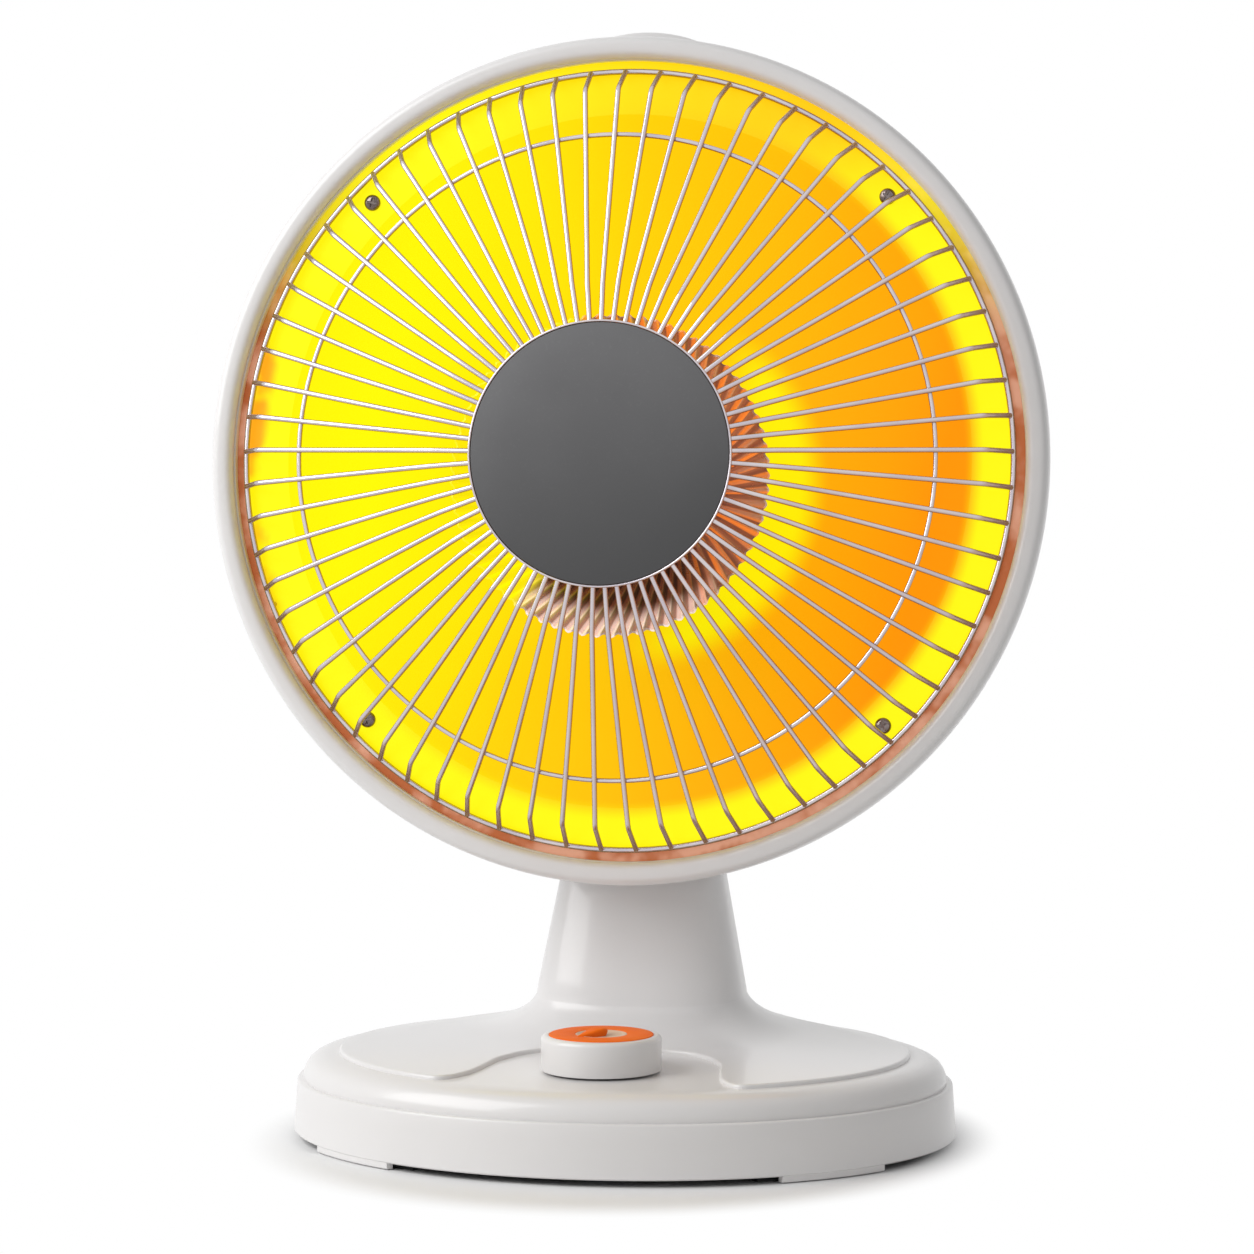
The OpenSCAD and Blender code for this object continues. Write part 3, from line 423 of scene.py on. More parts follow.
guard = {"wires": 69, "wireD": 2.0, "sides": 8, "start": (146.3, 1.95), "shoulder": (137.6, 17.5),
         "knee": (63.5, 45.8), "tip": (44.5, 48.7), "shoulderBend": 5.0, "kneeBend": 12.0, "bendSteps": 5,
         "ringR": 146.6, "ringD": 2.2, "midR": 119.8, "midZ": 22.6, "midD": 1.8,
         "hookAngle": 22, "hookR": 1.0, "hookBack": -8.5, "hookFront": -0.6,
         "lookingAt": (-0.25, 0.25, 0.93), "frontFrom": (0.35, 0.95), "flankShadeGlow": (0.46, 0.32, 0.27)}


def circleLine(r, z, d, steps=12):
    return [(r + d / 2 * math.cos(2 * math.pi * i / steps), z + d / 2 * math.sin(2 * math.pi * i / steps))
            for i in range(steps + 1)]


def bendPoints(before, corner, after, radius):
    u = (Vector(corner) - Vector(before)).normalized()
    v = (Vector(after) - Vector(corner)).normalized()
    turn = u.angle(v)
    back = radius * math.tan(turn / 2)
    first = Vector(corner) - u * back
    side = (v - u * v.dot(u)).normalized()
    return first, Vector(corner) + v * back, first + side * radius, turn


def makeWire():
    begin, shoulder, knee, tip = (Vector(guard[k]) for k in ("start", "shoulder", "knee", "tip"))
    lean = math.atan2(shoulder.x - begin.x, shoulder.y - begin.y)
    clearSelection()
    bpy.ops.mesh.primitive_circle_add(vertices=guard["sides"], radius=guard["wireD"] / 2 * mm,
                                      location=(begin.x * mm, 0, begin.y * mm), rotation=(0, lean, 0))
    wire = bpy.context.object
    bpy.ops.object.mode_set(mode="EDIT")
    at = begin
    for corner, after, radius in ((shoulder, knee, "shoulderBend"), (knee, tip, "kneeBend")):
        first, last, centre, turn = bendPoints(at, corner, after, guard[radius])
        bpy.ops.mesh.extrude_region_move(TRANSFORM_OT_translate={
            "value": ((first.x - at.x) * mm, 0, (first.y - at.y) * mm)})
        bend = (corner - at).x * (after - corner).y - (corner - at).y * (after - corner).x
        bpy.ops.mesh.spin(steps=guard["bendSteps"], angle=turn, center=(centre.x * mm, 0, centre.y * mm),
                          axis=(0, 1 if bend > 0 else -1, 0))
        at = last
    bpy.ops.mesh.extrude_region_move(TRANSFORM_OT_translate={
        "value": ((tip.x - at.x) * mm, 0, (tip.y - at.y) * mm)})
    bpy.ops.mesh.select_all(action="SELECT")
    bpy.ops.mesh.fill_holes(sides=0)
    bpy.ops.mesh.select_all(action="SELECT")
    bpy.ops.mesh.normals_make_consistent(inside=False)
    bpy.ops.object.mode_set(mode="OBJECT")
    applyPlace(wire)
    return wire


def makeGuard():
    wire = makeWire()
    count = guard["wires"]
    turns = [Matrix.Rotation(math.radians(90 + 360 * i / count), 4, "Z") for i in range(count)]
    wires = joinPieces([copyOf(wire, t) for t in turns], "guardWires")
    bpy.data.objects.remove(wire)
    finishPiece(wires, "head", "chrome_wire", ["guard_wires"], 60, headPlace)
    ring = spinLine("guardOuterRing", circleLine(guard["ringR"], 0, guard["ringD"]), 160)
    hook = spinLine("hook", [(0, guard["hookBack"]), (guard["hookR"], guard["hookBack"] + 0.3),
                             (guard["hookR"], guard["hookFront"]), (0, guard["hookFront"])], 12)
    hooks = [copyOf(hook, Matrix.Rotation(math.radians(guard["hookAngle"] + 90 * k), 4, "Z")
                    @ Matrix.Translation((guard["ringR"] * mm, 0, 0))) for k in range(4)]
    bpy.data.objects.remove(hook)
    ring = joinPieces([ring] + hooks, "guardOuterRing")
    finishPiece(ring, "head", "chrome_wire", ["guard_outer_ring"], 60, headPlace)
    mid = spinLine("guardMidRing", circleLine(guard["midR"], guard["midZ"], guard["midD"]), 160)
    finishPiece(mid, "head", "chrome_wire", ["guard_mid_ring"], 60, headPlace)


def wireFinish():
    # painted shade and reflection: the front of each wire is pale, its flanks are painted with the dark and
    # the glow they would catch
    tree = finishes["chrome_wire"].node_tree
    shader = tree.nodes["Principled BSDF"]
    tone = shader.inputs["Base Color"].links[0].from_socket
    front = rampBetween(tree, facingShare(tree, guard["lookingAt"]), *guard["frontFrom"])
    colour = mixColour(tree, front, guard["flankShadeGlow"], tone)
    tree.links.new(colour, shader.inputs["Base Color"])


wireFinish()
makeGuard()
print("guard ready")


# The grey plate: rolled edge and a thin bright rim round it

hub = {"r": 47.9, "z": 49.6, "t": 1.2, "edge": 0.5, "flat": 30.0, "rimIn": 47.95, "rimOut": 48.8,
       "rimZ": 49.5, "rimH": 1.6, "lean": -0.25, "fade": (50, -50, 0.0, 0.85), "dark": (0.052, 0.052, 0.054)}


def makeHub():
    front, roll = hub["z"] + hub["t"], hub["edge"]
    edge = [(hub["r"] - roll + roll * math.cos(math.radians(a)),
             front - roll + roll * math.sin(math.radians(a))) for a in (0, 22, 45, 68, 90)]
    line = [(0, hub["z"]), (hub["r"], hub["z"])] + edge + [(hub["flat"], front), (0, front)]
    plate = spinLine("hubPlate", line, 128)
    finishes["hub_grey"] = greyFinish()
    finishPiece(plate, "head", "hub_grey", ["guard_hub_plate"], 40, headPlace)
    half = (hub["rimOut"] - hub["rimIn"]) / 2
    top = hub["rimZ"] + hub["rimH"] - half
    crest = [(hub["rimIn"] + half + half * math.cos(math.radians(a)), top + half * math.sin(math.radians(a)))
             for a in (0, 30, 60, 90, 120, 150, 180)]
    line = [(hub["rimIn"], hub["rimZ"]), (hub["rimOut"], hub["rimZ"])] + crest + [(hub["rimIn"], hub["rimZ"])]
    rim = spinLine("hubRim", line, 160)
    finishPiece(rim, "head", "chrome_wire", ["guard_hub_rim"], 60, headPlace)


def greyFinish():
    # satin paint with a fine grain, and painted shade: a little darker to the bottom
    material = newFinish("hub_grey", dict(colour=(0.135, 0.135, 0.139), tint=(0.16, 0.16, 0.165),
                                          rough=0.45, patch=26.0, share=0.5, speck=0.35, grain=1400.0,
                                          bump=0.25, depth=0.05, metal=0.2))
    tree = material.node_tree
    shader = tree.nodes["Principled BSDF"]
    tone = shader.inputs["Base Color"].links[0].from_socket
    across = headCoordinates(tree)[1]
    slant = slanted(tree, across[1], across[0], hub["lean"])
    # painted shade: mixes towards a darker grey to the bottom
    colour = mixColour(tree, rampBetween(tree, slant, *hub["fade"]), tone, hub["dark"])
    tree.links.new(colour, shader.inputs["Base Color"])
    return material


# Reflector: polished dish with a flat flange

dish = {"holeR": 27.0, "r": 131.0, "depth": 57.5, "flangeZ": -3.5, "flangeR": 155.6, "t": 0.8, "steps": 26}
# the painted glow colours on the dish, and the distances in mm between which they fade
dishGlow = {"reach": 125.0, "strength": 0.84,
            # green of the glow from the left to the right
            "stops": [(-105, 0.91), (-68, 0.79), (-25, 0.65), (20, 0.555), (62, 0.45), (98, 0.385),
                      (122, 0.32)],
            "blue": 0.002, "drift": 24.0, "lean": -0.26,
            "bright": (1.0, 0.90, 0.002), "band": (128.0, 136.5), "bandTop": (118, 60, 0.15, 1.0),
            "beside": (74, 60), "besideFrom": (8, 40),
            "amberGlow": (1.0, 0.42, 0.01), "amberGlowFrom": (-128, -140), "amberGlowOut": (138, 143),
            "copper": (0.42, 0.13, 0.05), "copperPale": (0.72, 0.42, 0.30),
            "copperGlow": (0.16, 0.035, 0.008),
            "copperOut": (146.2, 147.4), "copperTop": (128, 40),
            "dimmed": (0.3, 0.3, 0.3), "bare": (0.42, 0.41, 0.40)}
element = {"drop": 7.0}
elementPlace = headPlace @ Matrix.Translation((0, -element["drop"] * mm, 0))


def dishZ(r):
    return dish["flangeZ"] - dish["depth"] * (1 - (r / dish["r"]) ** 2)


def reflectorFinish():
    # painted glow of the element on gold, as emission and colour: yellow on the left through amber to orange
    # on the right, with a painted bright band round the flange and beside the collar
    material, tree, shader = newMaterial("reflector_metal")
    g = dishGlow
    vector, across, radius = headCoordinates(tree)
    cloud = mathNode(tree, "SUBTRACT", noiseNode(tree, vector, 14.0), 0.5)
    drift = mathNode(tree, "MULTIPLY", cloud, g["drift"])
    slant = mathNode(tree, "ADD", slanted(tree, across[0], across[1], g["lean"]), drift)
    glowRamp = tree.nodes.new("ShaderNodeValToRGB")
    stops = glowRamp.color_ramp.elements
    while len(stops) < len(g["stops"]):
        stops.new(0.5)
    for stop, (at, green) in zip(stops, g["stops"]):
        stop.position = (at + g["reach"]) / (2 * g["reach"])
        stop.color = (1.0, green, g["blue"], 1)
    fromLeft = mathNode(tree, "ADD", slant, g["reach"])
    tree.links.new(mathNode(tree, "DIVIDE", fromLeft, 2 * g["reach"]), glowRamp.inputs["Fac"])
    # the painted bright band fades out towards the top
    wobble = slanted(tree, radius, drift, 0.12)
    lowSide = rampBetween(tree, slanted(tree, across[1], across[0], -0.25), *g["bandTop"])
    outerBand = mathNode(tree, "MULTIPLY", rampBetween(tree, wobble, *g["band"]), lowSide)
    elementRadius = headCoordinates(tree, element["drop"])[2]
    rightSide = rampBetween(tree, slanted(tree, across[0], across[1], -0.3), *g["besideFrom"])
    beside = mathNode(tree, "MULTIPLY", rampBetween(tree, elementRadius, *g["beside"]), rightSide)
    brightest = mathNode(tree, "MAXIMUM", outerBand, beside)
    lit = mixColour(tree, brightest, glowRamp.outputs["Color"], g["bright"])
    # painted amber patches of glow at the far left of the flange
    farLeft = mathNode(tree, "MULTIPLY", rampBetween(tree, across[0], *g["amberGlowFrom"]),
                       rampBetween(tree, radius, *g["amberGlowOut"]))
    amberGlowSpots = rampBetween(tree, noiseNode(tree, vector, 32.0), 0.48, 0.6)
    lit = mixColour(tree, mathNode(tree, "MULTIPLY", amberGlowSpots, farLeft), lit, g["amberGlow"])
    # outside the guard, except at the top, the painted glow gives way to mottled copper with a faint painted
    # glow
    mottle = rampBetween(tree, noiseNode(tree, vector, 60.0), 0.4, 0.62)
    copper = mixColour(tree, mottle, g["copper"], g["copperPale"])
    edge = mathNode(tree, "MULTIPLY", rampBetween(tree, radius, *g["copperOut"]),
                    rampBetween(tree, across[1], *g["copperTop"]))
    colour = mixColour(tree, edge, mixColour(tree, 1.0, lit, g["dimmed"], "MULTIPLY"), copper)
    glow = mixColour(tree, edge, lit, g["copperGlow"])
    # the back of the sheet is plain bare metal
    front = rampBetween(tree, facingShare(tree), -0.05, 0.1)
    tree.links.new(mixColour(tree, front, g["bare"], colour), shader.inputs["Base Color"])
    tree.links.new(mixColour(tree, front, (0, 0, 0), glow), shader.inputs["Emission Color"])
    relief = tree.nodes.new("ShaderNodeGroup")
    relief.node_tree = reliefGroup
    relief.inputs["Size"].default_value = 60.0
    relief.inputs["Rough"].default_value = 0.4
    relief.inputs["Rough Spread"].default_value = 0.08
    tree.links.new(relief.outputs["Roughness"], shader.inputs["Roughness"])
    bump = tree.nodes.new("ShaderNodeBump")
    bump.inputs["Strength"].default_value = 0.08
    bump.inputs["Distance"].default_value = 0.2 * mm
    tree.links.new(relief.outputs["Height"], bump.inputs["Height"])
    tree.links.new(bump.outputs["Normal"], shader.inputs["Normal"])
    shader.inputs["Metallic"].default_value = 0.7
    shader.inputs["Emission Strength"].default_value = dishGlow["strength"]
    return material


def makeReflector():
    wide, steps = dish["r"] - dish["holeR"], dish["steps"]
    front = [(r, dishZ(r)) for r in (dish["holeR"] + wide * i / steps for i in range(steps + 1))]
    front += [(dish["r"] + 1.5, dish["flangeZ"] + 0.1), (dish["flangeR"], dish["flangeZ"])]
    back = [(r, z - dish["t"]) for r, z in reversed(front)]
    piece = spinLine("reflectorDish", front + back + front[:1], 160)
    finishes["reflector_metal"] = reflectorFinish()
    finishPiece(piece, "head", "reflector_metal", ["reflector"], 30, headPlace)


makeHub()
makeReflector()
print("hub and reflector ready")

# Fluted collar: pleats that flare out of the dish, held between the core and its socket

collar = {"flutes": 69, "mouthR": 60.0, "mouthZ": 30.0, "footR": 34.0, "footZ": -40.9,
          "steps": 12, "perFlute": 6, "deepMouth": 0.7, "deepFoot": 0.4, "t": 0.7, "stemR": 13.3,
          "scallop": 0.4}
# a pair is the colour in the valley and on the crest of a pleat: painted shade in the valley, painted
# highlight on the crest
collarLook = {"shadeNearPlate": ((0.035, 0.016, 0.012), (0.30, 0.18, 0.15)),
              "sheenNearMouth": ((0.50, 0.38, 0.35), (0.90, 0.80, 0.77)),
              "copper": ((0.20, 0.06, 0.025), (0.75, 0.28, 0.09)),
              "silver": ((0.45, 0.26, 0.19), (0.85, 0.68, 0.60)), "strips": 14.0,
              "lipGlow": ((0.14, 0.10, 0.09), (0.55, 0.46, 0.44)), "footGlow": (0.01, 0.005, 0.004),
              "plainGlow": (0.10, 0.045, 0.03), "warmGlow": (0.62, 0.17, 0.02),
              "yellow": (0.28, 0.22, 0.001), "yellowGlow": (1.0, 0.88, 0.002),
              "mouthFrom": (47, 56), "rightFrom": (-6, 22), "leftFrom": (-20, -27)}


def makeCollar():
    count = collar["flutes"] * collar["perFlute"]
    rings = []
    for i in range(collar["steps"] + 1):
        k = i / collar["steps"]
        z = collar["footZ"] + (collar["mouthZ"] - collar["footZ"]) * k
        base = collar["footR"] + (collar["mouthR"] - collar["footR"]) * k ** 0.92
        deep = collar["deepFoot"] + (collar["deepMouth"] - collar["deepFoot"]) * k
        ring = []
        for j in range(count):
            turn = 2 * math.pi * j / count
            wave = math.cos(collar["flutes"] * turn)
            r = base - deep + deep * wave
            lip = collar["scallop"] * (wave - 1) / 2 * k ** 6
            ring.append((r * math.cos(turn), r * math.sin(turn), z + lip))
        rings.append(ring)
    stem = arc((0, 0), (collar["stemR"], collar["stemR"]), 0, 360, count)[:-1]
    foot = [(x, y, collar["footZ"]) for x, y in stem]
    piece = loftRings("flutedCollar", [foot] + rings, capFirst=False, capLast=False)
    choose(piece)
    wall = piece.modifiers.new("wall", "SOLIDIFY")
    wall.thickness = collar["t"] * mm
    wall.offset = -1
    bpy.ops.object.modifier_apply(modifier=wall.name)
    finishes["collar_metal"] = collarFinish()
    finishPiece(piece, "head", "collar_metal", ["fluted_collar"], 70, elementPlace)


def collarFinish():
    # painted shade and reflections: dark between the pleats near the plate, pinkish silver at the mouth,
    # copper and orange on the right
    material = newFinish("collar_metal", dict(colour=(0.62, 0.42, 0.33), tint=(0.75, 0.68, 0.66), rough=0.3,
                                              metal=0.3, patch=35.0, share=0.6, smudge=0.15))
    g = collarLook
    tree = material.node_tree
    shader = tree.nodes["Principled BSDF"]
    across, radius = headCoordinates(tree, element["drop"])[1:]
    turn = mathNode(tree, "ARCTAN2", across[1], across[0])
    pleat = mathNode(tree, "COSINE", mathNode(tree, "MULTIPLY", turn, float(collar["flutes"])))
    crest = rampBetween(tree, pleat, -0.5, 0.5)
    # uneven strips of painted reflection, each a few pleats wide
    place = tree.nodes.new("ShaderNodeCombineXYZ")
    tree.links.new(mathNode(tree, "MULTIPLY", turn, g["strips"]), place.inputs[0])
    strip = rampBetween(tree, noiseNode(tree, place.outputs[0], 1.0, 1.0), 0.45, 0.55)
    outward = rampBetween(tree, radius, *g["mouthFrom"])
    low = mixColour(tree, outward, mixColour(tree, crest, *g["shadeNearPlate"]),
                    mixColour(tree, crest, *g["sheenNearMouth"]))
    right = mixColour(tree, strip, mixColour(tree, crest, *g["copper"]), mixColour(tree, crest, *g["silver"]))
    side = rampBetween(tree, slanted(tree, across[0], across[1], 0.6), *g["rightFrom"])
    # painted reflection: the left wall only throws back the yellow of the dish
    yellow = rampBetween(tree, slanted(tree, across[0], across[1], -0.21), *g["leftFrom"])
    pleats = mixColour(tree, side, low, right)
    tree.links.new(mixColour(tree, yellow, pleats, g["yellow"]), shader.inputs["Base Color"])
    # painted glow: warm light of the coil on the right, a pale sheen at the lower mouth
    warm = mathNode(tree, "MULTIPLY", crest, mathNode(tree, "SUBTRACT", 1.0, strip))
    rightGlow = mixColour(tree, warm, g["plainGlow"], g["warmGlow"])
    lowGlow = mixColour(tree, outward, g["footGlow"], mixColour(tree, crest, *g["lipGlow"]))
    glow = mixColour(tree, side, lowGlow, rightGlow)
    tree.links.new(mixColour(tree, yellow, glow, g["yellowGlow"]), shader.inputs["Emission Color"])
    shader.inputs["Emission Strength"].default_value = dishGlow["strength"]
    return material


# Element: fluted ceramic cone with its coiled wire

core = {"r": 19.0, "tip": 11.0, "footZ": -40.65, "tipZ": 26.0, "neckR": 12.5, "neckZ": -62.6,
        "edge": 0.6, "grooves": 9, "grooveDeep": 0.5,
        "coilFrom": 6.0, "coilTo": 61.0, "coilR": 1.35, "wireR": 0.28, "turns": 11, "loops": 22}


def coreRadius(up):
    return core["r"] - (core["r"] - core["tip"]) * up / (core["tipZ"] - core["footZ"])


def makeElement():
    line = [(0, core["neckZ"]), (core["neckR"], core["neckZ"]), (core["neckR"], core["footZ"]),
            (core["r"] - core["edge"], core["footZ"]), (core["r"], core["footZ"] + core["edge"])]
    steps, deep = core["grooves"] * 4, core["grooveDeep"]
    for i in range(steps + 1):
        up = core["coilFrom"] + (core["coilTo"] - core["coilFrom"]) * i / steps
        line.append((coreRadius(up) - deep + deep * math.cos(math.pi / 2 * i), core["footZ"] + up))
    line += [(core["tip"], core["tipZ"] - 1), (core["tip"] - 1, core["tipZ"]), (0, core["tipZ"])]
    cone = spinLine("ceramicCone", line, 64)
    finishPiece(cone, "head", "ceramic", ["ceramic_core"], 50, elementPlace)
    # the coil is a small helix laid along a wide one
    path = bpy.data.curves.new("heatingCoil", "CURVE")
    path.dimensions = "3D"
    path.bevel_depth = core["wireR"] * mm
    path.bevel_resolution = 0
    spline = path.splines.new("POLY")
    count = core["turns"] * core["loops"] * 6
    spline.points.add(count)
    for i in range(count + 1):
        k = i / count
        wide = 2 * math.pi * core["turns"] * k
        small = 2 * math.pi * core["turns"] * core["loops"] * k
        up = core["coilFrom"] + 2 + (core["coilTo"] - core["coilFrom"] - 4) * k
        r = coreRadius(up) + 0.2 + core["coilR"] + core["coilR"] * math.cos(small)
        z = core["footZ"] + up + core["coilR"] * math.sin(small)
        spline.points[i].co = (r * math.cos(wide) * mm, r * math.sin(wide) * mm, z * mm, 1)
    coil = bpy.data.objects.new("heatingCoil", path)
    bpy.context.scene.collection.objects.link(coil)
    choose(coil)
    bpy.ops.object.convert(target="MESH")
    finishes["hot_wire"] = hotFinish()
    finishPiece(coil, "head", "hot_wire", ["heating_coil"], 60, elementPlace)


def hotFinish():
    material = newFinish("hot_wire", dict(colour=(0.55, 0.16, 0.05), tint=(0.8, 0.3, 0.06), rough=0.5,
                                          patch=80.0))
    shader = material.node_tree.nodes["Principled BSDF"]
    shader.inputs["Emission Color"].default_value = (1.0, 0.22, 0.03, 1)
    shader.inputs["Emission Strength"].default_value = 1.2
    return material


makeCollar()
makeElement()
print("collar and element ready")

# Front ring, rear shell, handle and the four flange screws

ringShape = {"half": 4.5, "lipZ": -3.2, "crest": 8.0, "inner": 2.5, "skirtZ": -14.0, "wall": 2.0, "bead": 0.7,
             "taper": 1.2, "square": 0.68, "holeR": 2.5, "holeZ": -9.0, "holeTurn": 20}


def makeFrontRing():
    middle = ringRadius - ringShape["half"]
    # a flat face with rounded shoulders
    half, crest, square = ringShape["half"], ringShape["crest"], ringShape["square"]
    outer = [(middle + half * math.copysign(abs(x) ** square, x), ringShape["lipZ"] + crest * y ** square)
             for x, y in arc((0, 0), (1, 1), 0, 152, 28)]
    roll = arc((middle - ringShape["half"] + ringShape["bead"], ringShape["lipZ"] + 2.2),
               (ringShape["bead"], ringShape["bead"]), 60, 200, 6)
    inner = arc((middle, ringShape["lipZ"]), (ringShape["inner"], ringShape["crest"] - 2), 180, 0, 16)
    line = outer + roll + [(middle - ringShape["half"], ringShape["lipZ"])] + inner
    back = ringRadius - ringShape["taper"]
    line += [(ringRadius - ringShape["wall"], ringShape["skirtZ"] + 0.1), (back - 0.3, ringShape["skirtZ"]),
             (back, ringShape["skirtZ"] + 0.4)] + outer[:1]
    piece = spinLine("frontRing", line, 240)
    hole = spinLine("hole", [(0, -1), (ringShape["holeR"], -1), (ringShape["holeR"], 5), (0, 5)], 24)
    holes = joinPieces([copyOf(hole, Matrix.Rotation(math.radians(ringShape["holeTurn"] + 90 * k), 4, "Z")
                               @ Matrix.Translation(((ringRadius - 1) * mm, 0, ringShape["holeZ"] * mm))
                               @ Matrix.Rotation(math.radians(90), 4, "Y")) for k in range(4)], "holes")
    bpy.data.objects.remove(hole)
    closeUp(holes)
    cutWith(piece, holes)
    finishPiece(piece, "head", "white_plastic", ["front_ring"], 50, headPlace)


shell = {"r": 157.4, "rimZ": -13.0, "edgeZ": -4.3, "depth": 70.0, "power": 1.36, "wall": 2.4, "steps": 30,
         "slots": 30, "slotIn": 42.0, "slotOut": 78.0, "slotW": 4.0, "slotZ": -67.0, "slotDeep": 40.0}


def shellRadius(depth):
    return shell["r"] * math.sqrt(max(0, 1 - (depth / shell["depth"]) ** shell["power"]))


def makeShell():
    bowl = []
    for i in range(shell["steps"] + 1):
        depth = shell["depth"] * (1 - (1 - i / shell["steps"]) ** 1.6)
        bowl.append((shellRadius(depth), shell["rimZ"] - depth))
    inside = [(max(0, r - shell["wall"] * (1 - i / shell["steps"])), z + shell["wall"] * min(1, i / 4))
              for i, (r, z) in enumerate(bowl)]
    edge = (shell["r"], shell["edgeZ"])
    line = [edge] + bowl + inside[::-1] + [(shell["r"] - shell["wall"], shell["edgeZ"]), edge]
    piece = spinLine("rearShell", line, 180)
    # one air slot with round ends, copied round the back
    clearSelection()
    bpy.ops.mesh.primitive_cube_add(size=1)
    slot = bpy.context.object
    slot.scale = ((shell["slotOut"] - shell["slotIn"]) * mm, shell["slotW"] * mm, shell["slotDeep"] * mm)
    slot.location = ((shell["slotOut"] + shell["slotIn"]) / 2 * mm, 0, shell["slotZ"] * mm)
    applyPlace(slot)
    bpy.ops.object.mode_set(mode="EDIT")
    bpy.ops.mesh.select_all(action="DESELECT")
    bpy.ops.mesh.select_mode(type="EDGE")
    cage = bmesh.from_edit_mesh(slot.data)
    for e in cage.edges:
        e.select = abs(e.verts[0].co.z - e.verts[1].co.z) > 0.01
    bmesh.update_edit_mesh(slot.data)
    bpy.ops.mesh.bevel(offset=(shell["slotW"] / 2 - 0.05) * mm, segments=4)
    bpy.ops.mesh.select_mode(type="VERT")
    bpy.ops.object.mode_set(mode="OBJECT")
    slots = joinPieces([copyOf(slot, Matrix.Rotation(2 * math.pi * k / shell["slots"], 4, "Z"))
                        for k in range(shell["slots"])], "slots")
    bpy.data.objects.remove(slot)
    cutWith(piece, slots)
    finishPiece(piece, "head", "white_plastic", ["rear_shell"], 40, headPlace)


handle = {"r": 52.0, "t": 9.0, "w": 15.0, "round": 3.4, "z": -47.0, "rise": 8.5, "footSink": 10.0,
          "footGrow": 1.35}


def makeHandle():
    centre = ringRadius + handle["rise"] - handle["t"] / 2 - handle["r"]
    halfT, halfW, bend = handle["t"] / 2, handle["w"] / 2, handle["round"]
    line = []
    for sx, sz, fromAngle in ((1, 1, 0), (-1, 1, 90), (-1, -1, 180), (1, -1, 270)):
        line += arc((handle["r"] + sx * (halfT - bend), handle["z"] + sz * (halfW - bend)), (bend, bend),
                    fromAngle, fromAngle + 90, 5)
    piece = spinLine("carryHandle", line + line[:1], 72, 180)
    # feet: the open ends run down into the shell and swell
    bpy.ops.object.mode_set(mode="EDIT")
    for side in (-1, 1):
        for step in range(5):
            bpy.ops.mesh.select_all(action="DESELECT")
            cage = bmesh.from_edit_mesh(piece.data)
            lowest = min(v.co.y for v in cage.verts if v.co.x * side > 0)
            for f in cage.faces:
                f.select = all(v.co.x * side > 0 and v.co.y < lowest + 1e-6 for v in f.verts)
            bmesh.update_edit_mesh(piece.data)
            bpy.ops.mesh.extrude_region_move(
                TRANSFORM_OT_translate={"value": (0, -handle["footSink"] / 5 * mm, 0)})
            grow = 1 + (handle["footGrow"] - 1) * (step + 1) / 15
            bpy.ops.transform.resize(value=(grow, 1, grow))
    bpy.ops.object.mode_set(mode="OBJECT")
    closeUp(piece)
    place = headPlace @ Matrix.Translation((0, centre * mm, 0))
    finishPiece(piece, "head", "white_plastic", ["carry_handle"], 50, place)


flangeScrew = {"circle": 139.6, "r": 3.1, "h": 2.2, "shank": 1.9, "length": 9.0, "crossL": 3.6,
               "crossW": 0.75, "crossDeep": 1.3, "turned": (12, 34, 61, 78)}


def makeFlangeScrews():
    s = flangeScrew
    dome = [(s["r"] * math.cos(math.radians(a)), 0.5 + (s["h"] - 0.5) * math.sin(math.radians(a)))
            for a in range(0, 91, 10)]
    line = [(0, -s["length"]), (s["shank"] - 0.4, -s["length"]), (s["shank"], -s["length"] + 0.6),
            (s["shank"], 0), (s["r"], 0)] + dome
    screw = spinLine("screw", line, 32)
    for turn in (0, 90):
        clearSelection()
        bpy.ops.mesh.primitive_cube_add(size=1)
        bar = bpy.context.object
        bar.scale = (s["crossL"] * mm, s["crossW"] * mm, s["crossDeep"] * 2 * mm)
        bar.location = (0, 0, s["h"] * mm)
        bar.rotation_euler = (0, 0, math.radians(turn))
        applyPlace(bar)
        cutWith(screw, bar)
    screws = joinPieces([copyOf(screw, Matrix.Rotation(math.radians(45 + 90 * k), 4, "Z")
                                @ Matrix.Translation((s["circle"] * mm, 0, dish["flangeZ"] * mm))
                                @ Matrix.Rotation(math.radians(s["turned"][k]), 4, "Z")) for k in range(4)],
                        "flangeScrews")
    bpy.data.objects.remove(screw)
    finishPiece(screws, "head", "screw_steel", ["reflector_screws"], 35, headPlace)


makeFrontRing()
makeShell()
makeHandle()
makeFlangeScrews()
print("head ready")


# Base: skirt with four arc feet, smooth top with a raised panel, and the column

